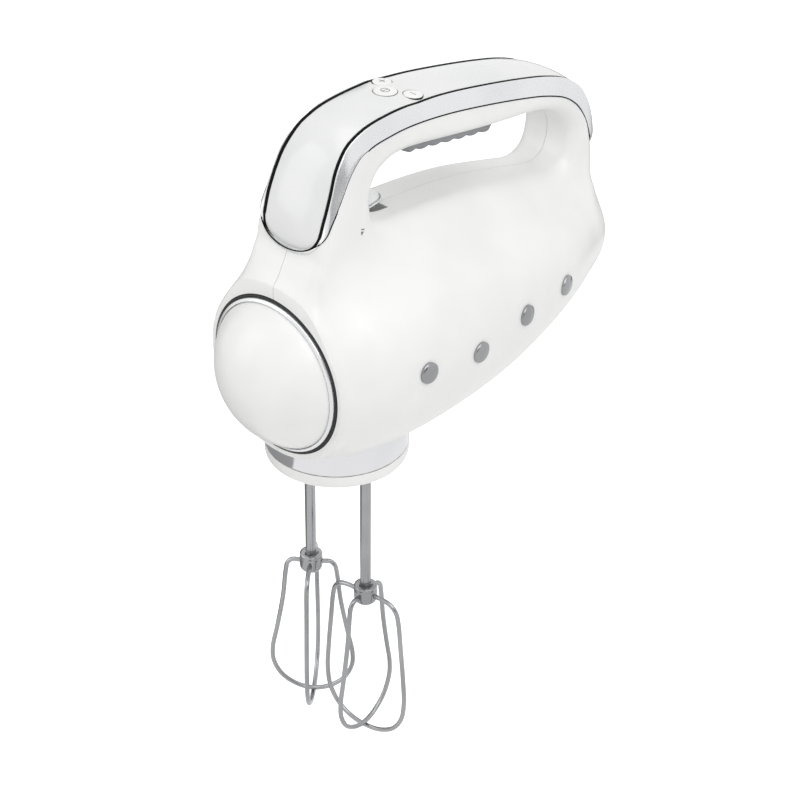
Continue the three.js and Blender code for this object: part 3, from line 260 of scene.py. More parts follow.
def standing_on_crown(s, x=0.0, n=0.0):
    """Matrix that stands a piece, modelled about +Z at the origin, on the crown."""
    at = Vector(on_crown(s, x, n).tolist()) * MM
    up = (Vector(on_crown(s, x, 1 + n).tolist()) * MM - at).normalized()
    along = Vector((1, 0, 0)).cross(up)
    turn = Matrix((Vector((1, 0, 0)), -along, up)).transposed()
    return Matrix.Translation(at) @ turn.to_4x4()


# ------------------------------------------------------------------ body shape as a distance field

barrel_line = smooth_line(BARREL, each=8)
barrel_outline = np.vstack([[-60, 0.0], [-60, 41.0], barrel_line, [BODY_HEEL_Y, 0.0]])
crown_low = [(166.9, 85.0), (150.0, 60.0), (60.0, 50.0), (-30.0, 60.0), (-37.5, 92.0), (-34.8, 103.5),
             (-32.6, 115.0)]
ring_outline = np.vstack([crown_line, crown_low])
opening_outline = smooth_line(OPENING, closed=True, each=6)


def outline_distance(points, outline):
    """Signed distance from 2-D points to a closed outline, negative inside."""
    best = np.full(len(points), np.inf)
    inside = np.zeros(len(points), bool)
    for a, b in zip(outline, np.roll(outline, -1, axis=0)):
        edge, away = b - a, points - a
        t = np.clip((away @ edge) / max(edge @ edge, 1e-12), 0, 1)
        gap = away - t[:, None] * edge
        best = np.minimum(best, np.einsum("ij,ij->i", gap, gap))
        crosses = (a[1] > points[:, 1]) != (b[1] > points[:, 1])
        if a[1] != b[1]:
            at = a[0] + (points[:, 1] - a[1]) * edge[0] / edge[1]
            inside ^= crosses & (points[:, 0] < at)
    return np.where(inside, -1, 1) * np.sqrt(best)


def ease(low, high, value):
    t = np.clip((value - low) / (high - low), 0, 1)
    return t * t * (3 - 2 * t)


def blended(a, b, reach):
    """Smooth union: a fillet about `reach` wide where the two surfaces meet."""
    h = np.clip(0.5 + 0.5 * (b - a) / reach, 0, 1)
    return b + (a - b) * h - reach * h * (1 - h)


def ring_distance(x, y, side):
    """Distance to the handle ring, from x and the side view's distance."""
    half = 17.5 + 4.3 * (1 - ease(-14, 12, y)) + 0.6 * ease(148, 160, y)
    round_off = 7.5 - 3.5 * (1 - ease(-16, 4, y))
    qx, qs = np.abs(x) - half + round_off, side + round_off
    return np.hypot(np.maximum(qx, 0), np.maximum(qs, 0)) + np.minimum(np.maximum(qx, qs), 0) - round_off


def body_distance(p, side=None, barrel=None):
    x, y, z = p.T
    if barrel is None:
        barrel = outline_distance(np.stack([y, np.hypot(x, z - BODY_AXIS_Z)], 1), barrel_outline)
    if side is None:
        yz = np.stack([y, z], 1)
        side = np.maximum(outline_distance(yz, ring_outline), -outline_distance(yz, opening_outline))
    reach = 17 - 3 * ease(8, 60, y)
    return blended(barrel, ring_distance(x, y, side), reach)


def on_body(x, y, z, sign):
    """Point of the body's side reached from (x, y, z) along x, and the direction out of it."""
    spot = np.array([[x * sign, y, z]])
    for _ in range(12):
        spot[0, 0] -= sign * body_distance(spot)[0]
    slope = [body_distance(spot + step)[0] - body_distance(spot)[0] for step in np.eye(3) * 0.2]
    slope = np.array(slope)
    return Vector(spot[0]), Vector(slope / np.linalg.norm(slope))


def body_skin(name, level, cell):
    """Closed skin where the body's distance equals `level`: one point per crossed cell."""
    xs, ys, zs = (np.arange(a, b, cell) for a, b in ((-61.3, 62), (-48.6, 178), (-1.7, 183)))
    yz = np.stack(np.meshgrid(ys, zs, indexing="ij"), -1).reshape(-1, 2)
    side = np.maximum(outline_distance(yz, ring_outline), -outline_distance(yz, opening_outline))
    side = side.reshape(len(ys), len(zs))
    radius = np.hypot(xs[:, None], zs[None, :] - BODY_AXIS_Z)
    steps = np.arange(0, 140, 1.0)
    table = outline_distance(
        np.stack(np.meshgrid(ys, steps, indexing="ij"), -1).reshape(-1, 2), barrel_outline)
    table = table.reshape(len(ys), len(steps))
    value = np.empty((len(xs), len(ys), len(zs)))
    grid = np.stack(np.meshgrid(xs, zs, indexing="ij"), -1).reshape(-1, 2)
    for j, y in enumerate(ys):
        p = np.stack([grid[:, 0], np.full(len(grid), y), grid[:, 1]], 1)
        barrel = np.interp(radius.ravel(), steps, table[j])
        ring = np.broadcast_to(side[j], (len(xs), len(zs))).ravel()
        value[:, j] = body_distance(p, ring, barrel).reshape(len(xs), len(zs)) - level
    value[:, ys < BODY_FRONT_Y - 6] = 5
    solid = value < 0
    corners = [(i, j, k) for i in (0, 1) for j in (0, 1) for k in (0, 1)]
    shape = [n - 1 for n in solid.shape]
    part = lambda a, c: a[c[0]:c[0] + shape[0], c[1]:c[1] + shape[1], c[2]:c[2] + shape[2]]
    count = sum(part(solid, c).astype(int) for c in corners)
    mixed = (count > 0) & (count < 8)
    index = -np.ones(shape, int)
    index[mixed] = np.arange(mixed.sum())
    cells = np.argwhere(mixed)
    points = np.stack([xs[cells[:, 0]], ys[cells[:, 1]], zs[cells[:, 2]]], 1) + cell / 2
    faces = []
    for axis in range(3):
        u, v = [(1, 2), (2, 0), (0, 1)][axis]
        lower = [slice(1, -1)] * 3
        lower[axis] = slice(0, -1)
        upper = list(lower)
        upper[axis] = slice(1, None)
        first, second = solid[tuple(lower)], solid[tuple(upper)]
        for flip, crossed in ((False, first & ~second), (True, ~first & second)):
            at = np.argwhere(crossed)
            at += [0 if k == axis else 1 for k in range(3)]
            du, dv = np.eye(3, dtype=int)[u], np.eye(3, dtype=int)[v]
            quad = [index[tuple((at - du * a - dv * b).T)] for a, b in ((1, 1), (0, 1), (0, 0), (1, 0))]
            quad = np.stack(quad[::-1] if flip else quad, 1)
            faces.append(quad)
    faces = np.vstack(faces)
    for _ in range(6):
        d = body_distance(points) - level
        slope = np.stack([(body_distance(points + step) - level - d) / 0.05
                          for step in np.eye(3) * 0.05], 1)
        size = np.maximum(np.einsum("ij,ij->i", slope, slope), 0.2)
        push = np.clip(d / size, -cell, cell)
        free = points[:, 1] > BODY_FRONT_Y - 4
        points -= np.where(free, push, 0)[:, None] * slope
    return mesh_from(name, points, faces.tolist())


# ------------------------------------------------------------------ strips along the crown

def strip_loop(half, neck_end, heel_end, start, end, power, sides=70, round_steps=22):
    """Closed loop round a strip on the crown. half(s) is its half width; the ends are round,
    neck_end and heel_end giving how long the rounding is at the neck and at the heel."""
    first, last = start + neck_end, end - heel_end
    s_side = np.linspace(first, last, sides)
    turn = np.linspace(0, np.pi, 2 * round_steps + 1)[1:-1]
    bend = lambda t: np.sign(t) * np.abs(t) ** (2 / power)
    s = np.r_[s_side, last + heel_end * bend(np.sin(turn)), s_side[::-1],
              first - neck_end * bend(np.sin(turn))]
    x = np.r_[half(s_side), half(last) * bend(np.cos(turn)), -half(s_side[::-1]),
              -half(first) * bend(np.cos(turn))]
    return s, x


def table_line(rows):
    """Straight lines between rows of [length along the crown, value]."""
    at, value = zip(*rows)
    return lambda s: np.interp(s, at, value)


COVER_START, TRIM_START = 0.6, 0.2
COVER_END, TRIM_END = CROWN_LENGTH - 7.0, CROWN_LENGTH - 2.5
cover_half = table_line([(0, 16.4), (14, 16.6), (22, 16.9), (31, 16.5), (40, 15.5), (50, 14.4), (62, 14.0),
                         (84, 14.1), (92, 14.3), (98, 14.9), (104, 14.5), (112, 14.1), (400, 14.0)])
foot_half = table_line([(0, 21.4), (14, 21.2), (22, 21.5), (31, 21.3), (40, 20.9), (50, 19.9), (62, 18.6),
                        (84, 17.9), (110, 17.7), (400, 17.7)])
back = CROWN_LENGTH
foot_depth = table_line([(0, -1.8), (4, -1.0), (8, -0.2), (15, 0.9), (28, 3.6), (37, 5.0), (46, 6.4),
                         (60, 8.2), (76, 8.8), (back - 66, 8.8), (back - 48, 8.2), (back - 34, 6.6),
                         (back - 20, 4.6), (back - 6, 2.4), (back, 1.2)])
# Width of the joint between cover and trim, whose dark line is painted shade.
SLOT = 1.6
COVER_NECK_END, COVER_HEEL_END = 13, 12
TRIM_NECK_END, TRIM_HEEL_END = 16, 15
COVER_RIM, COVER_RISE = 0.14, 1.55
COVER_DEPTH = 2.4


def cover_loop(inset):
    return strip_loop(lambda s: cover_half(s) - inset, COVER_NECK_END - inset, COVER_HEEL_END - inset,
                      COVER_START + inset, COVER_END - inset, power=2.35)


def foot_loop(outset):
    return strip_loop(lambda s: foot_half(s) + outset, TRIM_NECK_END + outset, TRIM_HEEL_END + outset,
                      TRIM_START - outset, TRIM_END + outset, power=2.05)


def lip_loop(outset):
    out = SLOT + outset
    return strip_loop(lambda s: cover_half(s) + out, COVER_NECK_END + out, COVER_HEEL_END + out,
                      COVER_START - out, COVER_END + out, power=2.3)


def at_height(loop, n):
    """Loop of (s, x) given a height above the crown, a number or a function of s."""
    return loop[0], loop[1], n(loop[0]) if callable(n) else np.full(len(loop[0]), n)


def between(a, b, t, bulge=0.0):
    """Row part of the way from row a to row b, raised by the bulge."""
    s, x, n = (p + (q - p) * t for p, q in zip(a, b))
    return s, x, n + bulge


def handle_trim():
    """Trim band: foot on the body, gently crowned face, rolled lip beside the cover."""
    foot_low = at_height(foot_loop(-0.3), lambda s: -foot_depth(s) - 1.4)
    foot = at_height(foot_loop(0), lambda s: -foot_depth(s))
    outer_lip = at_height(lip_loop(0.75), 0.0)
    face = [between(foot, outer_lip, t, 0.45 * math.sin(math.pi * t)) for t in
            (0.04, 0.15, 0.3, 0.5, 0.7, 0.85, 0.95)]
    rows = [foot_low, foot, *face, outer_lip, at_height(lip_loop(0.3), 0.08), at_height(lip_loop(0), -0.2),
            at_height(lip_loop(0), -3.2),
            at_height(lip_loop(-0.1), lambda s: np.minimum(-foot_depth(s) - 1.4, -3.4))]
    return smooth(looped_skin("handle_trim_band", [on_crown(*row) for row in rows], True), 50)


def drawn_in(row, share, first, last):
    """Row pulled towards the strip's middle line, to close a top or a floor."""
    s, x, n = row
    middle = np.clip(s, first, last)
    return middle + (s - middle) * share, x * share, n


def trim_seat():
    """Room cut from the body for the trim, open above."""
    floor_row = at_height(foot_loop(0.15), lambda s: -foot_depth(s) - 0.12)
    middle_row = at_height(foot_loop(2.2), lambda s: -foot_depth(s) + 3)
    top_row = at_height(foot_loop(4.0), 14.0)
    rows = [*(drawn_in(floor_row, t, TRIM_START + 17, TRIM_END - 17) for t in (0.0, 0.35, 0.7)),
            floor_row, middle_row, top_row, drawn_in(top_row, 0.0, TRIM_START + 17, TRIM_END - 17)]
    return looped_skin("trim_seat", [on_crown(*row) for row in rows])


def cover_height(share):
    """Height of the cover's face above the crown, at a share of its half width."""
    return COVER_RIM + COVER_RISE * (1 - share ** 2.2)


def handle_cover():
    """Cover: flat below, small rounded edge, crowned face."""
    first, last = COVER_START + 13.6, COVER_END - 12.6
    below = at_height(cover_loop(0.4), -COVER_DEPTH)
    edge = [at_height(cover_loop(inset), n)
            for inset, n in ((0.1, 0.1 - COVER_DEPTH), (0, -0.5), (0.1, -0.12), (0.45, COVER_RIM))]
    rows = [drawn_in(below, 0.0, first, last), drawn_in(below, 0.6, first, last), below, *edge]
    for share in (0.96, 0.9, 0.8, 0.66, 0.5, 0.33, 0.16, 0.0):
        s, x, _ = drawn_in(edge[-1], share, first, last)
        rows.append((s, x, cover_height(share)))
    return looped_skin("handle_cover_shell", [on_crown(*row) for row in rows])


def slot_painted_shade():
    """Matt black strip that fills the joint between cover and trim, almost flush: painted shade for the
    shadow in the slot.
    """
    loops = [(cover_loop(-0.04), -2.2), (lip_loop(-0.04), -2.2), (lip_loop(-0.04), -0.1),
             (lip_loop(-0.12), 0.1), (cover_loop(-0.12), 0.1), (cover_loop(-0.04), -0.1)]
    return looped_skin("slot_painted_shade", [on_crown(s, x, n) for (s, x), n in loops], True)


def foot_shadow():
    """Matt black strip in the joint between the trim's foot and the body: painted shade for the shadow under
    the trim's foot.
    """
    rows = []
    for outset, up in ((-0.3, -0.5), (0.16, -0.5), (0.2, -0.1), (0.02, 0.12), (-0.3, 0.1)):
        s, x = foot_loop(outset)
        rows.append(on_crown(s, x, up - foot_depth(s)))
    return looped_skin("trim_foot_painted_shade", rows, True)


# ------------------------------------------------------------------ materials

def linear(colour):
    """sRGB hex to linear RGBA."""
    parts = [int(colour[i:i + 2], 16) / 255 for i in (1, 3, 5)]
    return tuple(c / 12.92 if c <= 0.04045 else ((c + 0.055) / 1.055) ** 2.4 for c in parts) + (1.0,)


def node(tree, kind, settings=None, links=None, **attributes):
    """Adds a node; settings go on its input sockets, links join other nodes' outputs to them."""
    made = tree.nodes.new(kind)
    for key, value in attributes.items():
        setattr(made, key, value)
    for key, value in (settings or {}).items():
        made.inputs[key].default_value = value
    for key, (source, socket) in (links or {}).items():
        tree.links.new(source.outputs[socket], made.inputs[key])
    return made


def finish_of(name, colour, dark=None, roughness=0.4, spread=0.05, grain_mm=1.0, bump_mm=0.01,
              stretch=(1, 1, 1), **shader):
    """A material whose colour, roughness and relief vary with a grain of the given size."""
    material = bpy.data.materials.new(name)
    material.use_nodes = True
    tree = material.node_tree
    tree.nodes.clear()
    place = node(tree, "ShaderNodeTexCoord")
    turn = node(tree, "ShaderNodeMapping", {"Scale": stretch}, {"Vector": (place, "Object")})
    grain = node(tree, "ShaderNodeTexNoise", {"Scale": 1000 / grain_mm, "Detail": 3.0, "Roughness": 0.55},
                 {"Vector": (turn, "Vector")})
    cloud = node(tree, "ShaderNodeTexNoise", {"Scale": 1000 / 38, "Detail": 2.0},
                 {"Vector": (place, "Object")})
    rough = node(tree, "ShaderNodeMapRange", {"From Min": 0.3, "From Max": 0.7,
                 "To Min": max(roughness - spread, 0.02), "To Max": roughness + spread},
                 {"Value": (grain, "Fac")})
    tone = node(tree, "ShaderNodeMix", {6: linear(dark or colour), 7: linear(colour)}, data_type="RGBA")
    share = node(tree, "ShaderNodeMapRange", {"From Min": 0.35, "From Max": 0.6}, {"Value": (cloud, "Fac")})
    tree.links.new(share.outputs["Result"], tone.inputs[0])
    relief = node(tree, "ShaderNodeBump", {"Strength": 1.0, "Distance": bump_mm * MM},
                  {"Height": (grain, "Fac")})
    surface = node(tree, "ShaderNodeBsdfPrincipled", shader, {"Roughness": (rough, "Result"),
                   "Normal": (relief, "Normal"), "Base Color": (tone, 2)})
    node(tree, "ShaderNodeOutputMaterial", None, {"Surface": (surface, "BSDF")})
    return material


# Moulded ABS under a satin enamel: bright white, a soft sheen, faint orange peel 1.6 mm apart.
white_enamel = finish_of("white_enamelled_abs", "#F4F4F2", "#EFEFEE", 0.34, 0.03, 1.6, 0.004,
                         IOR=1.5, **{"Coat Weight": 0.25, "Coat Roughness": 0.12})
# Pearl ABS: a touch greyer and glossier, fine mica sparkle drawn at 0.5 mm.
pearl_abs = finish_of("pearl_abs", "#E9E9E9", "#E3E4E4", 0.24, 0.05, 0.5, 0.0015, IOR=1.5,
                      **{"Coat Weight": 0.6, "Coat Roughness": 0.08})
# Satin metallised trim: pale metal with a faint grain about 0.9 mm across.
satin_trim = finish_of("satin_metallised_trim", "#E6E7E8", "#E0E1E3", 0.27, 0.03, 0.9, 0.0002,
                       Metallic=0.85)
# Polished chrome plate: mirror bright, only faint wiping marks 2 mm across.
chrome_plate = finish_of("chrome_plate", "#E0E0E2", "#D8D9DB", 0.1, 0.025, 2.0, 0.0008, Metallic=1.0)
# Polished stainless wire, rod and studs: bright, with drawing marks 0.6 mm apart along Z.
stainless = finish_of("polished_stainless", "#A9AAAC", "#98999B", 0.2, 0.06, 0.6, 0.002,
                      (1, 1, 0.12), Metallic=1.0)
# Soft grip rubber: matt mid grey, fine moulded texture drawn at 0.6 mm.
grip_rubber = finish_of("grip_rubber", "#8E9092", "#828486", 0.72, 0.08, 0.6, 0.03, IOR=1.52)
# Black seal rubber: nearly matt, a faint bloom.
seal_rubber = finish_of("seal_rubber", "#1B1B1C", "#141415", 0.58, 0.08, 0.8, 0.01, IOR=1.52)
# Matt black for the joints, painted shade: dead matt, so the joints read as dark lines.
painted_shade_black = finish_of("painted_shade_matt_black", "#0C0C0C", "#080808", 0.85, 0.05, 0.8, 0.01,
                       **{"Specular IOR Level": 0.15})
# Printed marks: thin grey ink, matt.
print_ink = finish_of("print_ink", "#77797B", "#6D6F71", 0.55, 0.06, 0.4, 0.002, IOR=1.48)
# Inside: cast alloy, sintered bronze, varnished copper, moulded nylon, laminate, carbon.
cast_alloy = finish_of("cast_alloy", "#A3A5A7", "#8B8D8F", 0.5, 0.1, 1.2, 0.03, Metallic=1.0)
sintered_bronze = finish_of("sintered_bronze", "#A67C45", "#8A6638", 0.45, 0.1, 0.5, 0.02, Metallic=1.0)
wound_copper = finish_of("varnished_copper", "#B5683A", "#8F4F2B", 0.35, 0.1, 0.7, 0.05, (1, 0.1, 1),
                         Metallic=1.0)
moulded_nylon = finish_of("moulded_nylon", "#E6E2D4", "#D8D3C2", 0.5, 0.06, 1.5, 0.01, IOR=1.53)
board_laminate = finish_of("board_laminate", "#22603F", "#184A30", 0.45, 0.08, 0.9, 0.01, IOR=1.5)
pressed_carbon = finish_of("pressed_carbon", "#2C2C2E", "#202022", 0.7, 0.08, 0.5, 0.02, IOR=1.6)
dark_plastic = finish_of("dark_moulded_plastic", "#3A3B3D", "#2F3032", 0.5, 0.07, 0.9, 0.015, IOR=1.5)

node_finish = {
    "gear_frame": cast_alloy, "motor_can": cast_alloy, "stator": dark_plastic, "ejector_plate": dark_plastic,
    "armature": wound_copper, "commutator": wound_copper, "fan": moulded_nylon,
    "button_board": board_laminate, "power_board": board_laminate, "lever_pin": stainless,
    "ejector_spring": stainless,
    "motor_shaft": stainless, "cord_gland": seal_rubber, "front_bearing": sintered_bronze,
    "rear_bearing": sintered_bronze, "base_plate": white_enamel, "heel_plate": white_enamel,
}
for number in (1, 2, 3):
    node_finish[f"base_screw_{number}"] = stainless
for side in ("left", "right"):
    node_finish |= {
        f"heel_screw_{side}": stainless, f"spindle_{side}": stainless, f"worm_wheel_{side}": moulded_nylon,
        f"lower_bush_{side}": sintered_bronze, f"upper_bush_{side}": sintered_bronze,
        f"brush_{side}": pressed_carbon, f"brush_holder_{side}": sintered_bronze,
    }
for name, material in node_finish.items():
    for slot in bpy.data.objects[name].material_slots:
        slot.material = material


def place_piece(obj, body, material, *nodes, slot=None):
    """Gives the piece its one material and its body, and says which nodes it stands for."""
    obj.data.materials.clear()
    obj.data.materials.append(material)
    for face in obj.data.polygons:
        face.material_index = 0
    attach(obj, body)
    if nodes:
        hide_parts(*nodes)
    return obj


# ------------------------------------------------------------------ housing

outer = body_skin("housing_skin", 0.0, 1.5)
inner = body_skin("housing_room", -WALL, 2.4)
for skin in (outer, inner):
    in_edit_mode(skin, lambda: bpy.ops.mesh.normals_make_consistent(inside=False))
base_room = drum("base_room", BASE_RADIUS + 0.25, -5, 24.2, vertices=128)
front_room = block("front_room", (-80, -70, -10), (80, BODY_FRONT_Y, 130))
seat_room = drum("seat_room", 39.7, -60, -34.7, (0, 0, BODY_AXIS_Z), "Y", 128)
heel_room = drum("heel_room", 19.3, 168.3, 180, (0, 0, BODY_AXIS_Z), "Y", 96)
lever_room = block("lever_room", (-LEVER_ROOM_HALF, -7, LEVER_ROOM_FLOOR),
                   (LEVER_ROOM_HALF, LEVER_ROOM_REAR, 134.5))
gland_room = drum("gland_room", 5.5, 5, 50, (0, 147, 0), vertices=48)
carve(inner, block("front_wall", (-80, -70, -10), (80, BODY_FRONT_Y + 6.5, 150)))
carve(outer, inner, front_room, seat_room, base_room, heel_room, lever_room, gland_room, trim_seat())
for name, sign in (("housing_left", 1), ("housing_right", -1)):
    half = outer.copy()
    half.data = outer.data.copy()
    half.name = half.data.name = name.replace("housing", "shell")
    bpy.context.collection.objects.link(half)
    carve(half, block("keep", (SEAM_HALF if sign > 0 else -90, -80, -20),
                      (90 if sign > 0 else -SEAM_HALF, 200, 200)), operation="INTERSECT")
    place_piece(smooth(half, 40), "body", white_enamel, name)
bpy.data.objects.remove(outer, do_unlink=True)

# ------------------------------------------------------------------ cover, trim and keys

cover = handle_cover()
# Keys on the cover: name: (y, x, radius).
KEYS = {"power": (32.2, 0.0, 5.5), "minus": (40.2, 9.5, 4.5), "plus": (40.2, -9.5, 4.5)}
for name, (y, x, radius) in KEYS.items():
    hole = drum("key_hole", radius + 0.3, -8, 8, vertices=64)
    carve(cover, moved(hole, standing_on_crown(crown_at(y), x)))
smooth(cover, 40)
place_piece(cover, "body", pearl_abs, "handle_cover", "display_window")
place_piece(handle_trim(), "body", satin_trim, "handle_trim")
# Matt black strips in the cover's slot and at the trim's foot: painted shade.
place_piece(slot_painted_shade(), "body", painted_shade_black, slot="seal_black")
place_piece(foot_shadow(), "body", painted_shade_black, slot="seal_black")

for name, (y, x, radius) in KEYS.items():
    top = cover_height(abs(x) / 14.2) + 0.35
    stand = standing_on_crown(crown_at(y), x)
    key = turned(f"{name}_key", [(0, -4.0), (radius, -4.0), (radius, top, 0.5), (radius * 0.5, top + 0.12, 2),
                                 (0, top + 0.16)])
    smooth(moved(key, stand), 40)
    place_piece(key, f"{name}_key", white_enamel, f"{name}_button")
    ring = turned(f"{name}_key_ring", [(radius + 0.02, top - 1.2), (radius + 0.28, top - 1.2),
                                       (radius + 0.28, top - 0.42, 0.1), (radius + 0.02, top - 0.42, 0.1)])
    place_piece(smooth(moved(ring, stand)), "body", seal_rubber, slot="seal_black")
    marks = []
    if name == "power":
        marks.append(turned("power_mark", [(1.75, top + 0.1), (2.15, top + 0.1), (2.15, top + 0.17),
                                           (1.75, top + 0.17)], steps=48))
    for turn in {"power": [0], "minus": [0], "plus": [0, 90]}[name]:
        bar = block("bar", (-0.2, -1.7, top + 0.08), (0.2, 1.7, top + 0.2))
        marks.append(moved(bar, Matrix.Rotation(math.radians(turn + (0 if name == "power" else 90)), 4, "Z")))
    pick(*marks)
    if len(marks) > 1:
        bpy.ops.object.join()
    mark = bpy.context.view_layer.objects.active
    mark.name = mark.data.name = f"{name}_key_mark"
    place_piece(moved(mark, stand), f"{name}_key", print_ink, slot="plastic_dark")

# ------------------------------------------------------------------ front

axis_point = (0, 0, BODY_AXIS_Z)
gasket = turned("front_seal", [(35.5, -35.2), (39.4, -35.2), (39.4, -39.3), (39.1, -39.9, 0.4),
                               (38.15, -39.9, 0.3), (38.15, -36.9), (35.5, -36.9)], "Y", axis_point, 160)
place_piece(smooth(gasket), "body", seal_rubber, "front_gasket")
ring = turned("front_band", [(34.5, -37.3), (38.0, -37.3), (38.0, -40.9, 0.5), (36.5, -41.6, 0.3),
                             (36.5, -39.0), (34.5, -39.0)], "Y", axis_point, 160)
place_piece(smooth(ring), "body", satin_trim, "front_ring")
DOME_RISE, DOME_EDGE, DOME_BASE_Y, DOME_WALL = 21.8, 36.3, -41.0, 2.2
dome_radius = (DOME_EDGE ** 2 + DOME_RISE ** 2) / (2 * DOME_RISE)


def dome_arc(sphere, edge, count):
    """Profile of the dome from its edge to its tip."""
    return [(r, DOME_BASE_Y - math.sqrt(sphere ** 2 - r ** 2) + dome_radius - DOME_RISE)
            for r in np.linspace(edge, 0, count)]


dome = turned("front_dome", [(33.2, -39.4), (DOME_EDGE, -39.4), *dome_arc(dome_radius, DOME_EDGE, 22),
                             *dome_arc(dome_radius - DOME_WALL, DOME_EDGE - 2.6, 14)[::-1]],
              "Y", axis_point, 160)
place_piece(smooth(dome, 50), "body", white_enamel, "front_cap")

# ------------------------------------------------------------------ base and heel

rim = turned("base_skirt", [(29.2, 0.4), (29.2, 0.05), (31.4, 0, 1), (34.3, 1.0, 1.4), (BASE_RADIUS, 3.6, 1),
                            (BASE_RADIUS, 7.4, 0.25), (33.1, 7.4), (33.1, 6.4), (31.6, 3.2)], steps=160)
place_piece(smooth(rim), "body", white_enamel, slot="shell_white")
band = turned("base_chrome_band", [(33.5, 7.75), (34.7, 7.75, 0.3), (34.7, 23.0, 0.2), (33.5, 23.0)],
              steps=160)
place_piece(smooth(band), "body", chrome_plate, "base_band")
foot = turned("heel_ring", [(14.8, 170.3), (17.4, 170.3), (17.4, 172.0, 0.5), (14.8, 172.0, 0.5)], "Y",
              axis_point)
place_piece(smooth(foot), "body", grip_rubber, "heel_foot")

# ------------------------------------------------------------------ grip, lever, studs

def opening_top(y):
    """Height of the hand opening's upper edge."""
    upper = opening_outline[(opening_outline[:, 1] > 135)]
    order = np.argsort(upper[:, 0])
    return float(np.interp(y, upper[order, 0], upper[order, 1]))


GRIP_FRONT, GRIP_REAR, GRIP_HALF, GRIP_RIBS, GRIP_SINK = 32.0, 97.0, 13.0, 7.5, 1.5


def grip():
    """Ribbed insert under the handle bar, its ribs rounded and fading to the ends."""
    rows = []
    for y in np.linspace(GRIP_FRONT, GRIP_REAR, 125):
        top = opening_top(y) + GRIP_SINK
        fade = min(1, (y - GRIP_FRONT) / 5, (GRIP_REAR - y) / 7)
        wave = abs(math.sin(math.pi * (y - GRIP_FRONT) / (GRIP_REAR - GRIP_FRONT) * GRIP_RIBS))
        drop = fade * (2.0 + 2.6 * wave ** 0.8)
        half = GRIP_HALF * (0.75 + 0.25 * fade)
        row = []
        for a in np.linspace(0, math.pi, 17):
            cx, cz = math.cos(a), math.sin(a)
            row.append((half * np.sign(cx) * abs(cx) ** 0.55, y, top - GRIP_SINK - drop * cz ** 0.6))
        rows.append(np.array([(half, y, top), *row, (-half, y, top)]))
    ends = [np.tile(rows[k].mean(axis=0), (len(rows[k]), 1)) for k in (0, -1)]
    return looped_skin("grip_ribs", [ends[0], *rows, ends[1]])


place_piece(smooth(grip(), 50), "body", grip_rubber, "grip_insert")


PADDLE_LINE = [(-4.0, 127.2), (4, 127.2), (12, 126.7), (19, 126.7), (23.5, 127.6), (26.2, 129.0)]
PADDLE_HALF, PADDLE_ROOT, PADDLE_LIP = 6.3, 2.6, 1.2


def eject_paddle():
    """Curved paddle: thick root on the pin, thin dished plate, rounded and raised at the finger's end."""
    line = smooth_line(PADDLE_LINE, each=8)
    slope = np.gradient(line, axis=0)
    slope /= np.linalg.norm(slope, axis=1)[:, None]
    rows = []
    for i, ((y, z), (ty, tz)) in enumerate(zip(line, slope)):
        t = i / (len(line) - 1)
        half = PADDLE_HALF * math.sqrt(max(1 - max(0, (t - 0.68) / 0.32) ** 2 * 0.8, 0.05))
        thick = PADDLE_ROOT - (PADDLE_ROOT - PADDLE_LIP) * min(t / 0.45, 1)
        row = []
        for a in np.linspace(0, 2 * math.pi, 25)[:-1]:
            cx, cn = math.cos(a), math.sin(a)
            x = half * np.sign(cx) * abs(cx) ** 0.5
            n = thick * np.sign(cn) * abs(cn) ** 0.6
            dish = 0.9 * (x / PADDLE_HALF) ** 2 * min(max(t - 0.3, 0) * 3, 1)
            row.append((x, y - tz * n, z + ty * n + dish))
        rows.append(np.array(row))
    ends = [np.tile(rows[k].mean(axis=0), (24, 1)) for k in (0, -1)]
    return looped_skin("eject_paddle", [ends[0], *rows, ends[1]])


# White well under the paddle, behind the push rod, so the slot does not open into the dark inside.
well = block("lever_well", (-8.2, PUSH_ROD_REAR, 111.8), (8.2, 28.6, 121.9))
carve(well, block("well_room", (-LEVER_ROOM_HALF, 17, 113.1), (LEVER_ROOM_HALF, LEVER_ROOM_REAR, 130)))
place_piece(well, "body", white_enamel, slot="shell_white")
pin_hole = drum("pin_hole", LEVER_PIN_HOLE, -20, 20, vertices=32)
moved(pin_hole, Matrix.Translation(Vector(LEVER_PIN) * MM) @ Matrix.Rotation(math.pi / 2, 4, "Y"))
paddle = carve(eject_paddle(), pin_hole)
place_piece(smooth(paddle, 45), "lever", satin_trim, "eject_lever")

# Plain domed studs along the widest line of each side: [y, z].
STUDS = [(5.6, 64.1), (40.8, 59.7), (77.0, 62.9), (115.1, 60.5)]
for side, sign in (("left", 1), ("right", -1)):
    for number, (y, z) in enumerate(STUDS, 1):
        spot, out = on_body(40.0, y, z, sign)
        stud = turned(f"stud_{side}_{number}", [(0, -1.2), (4.2, -1.2), (5.2, -0.2), (5.2, 1.0, 0.5),
                                                (3.9, 1.8, 1.4), (0, 2.2)], steps=64)
        stand = out.to_track_quat("Z", "Y").to_matrix().to_4x4()
        moved(stud, Matrix.Translation(spot * MM) @ stand)
        place_piece(smooth(stud, 50), "body", stainless, slot="chrome_bright")

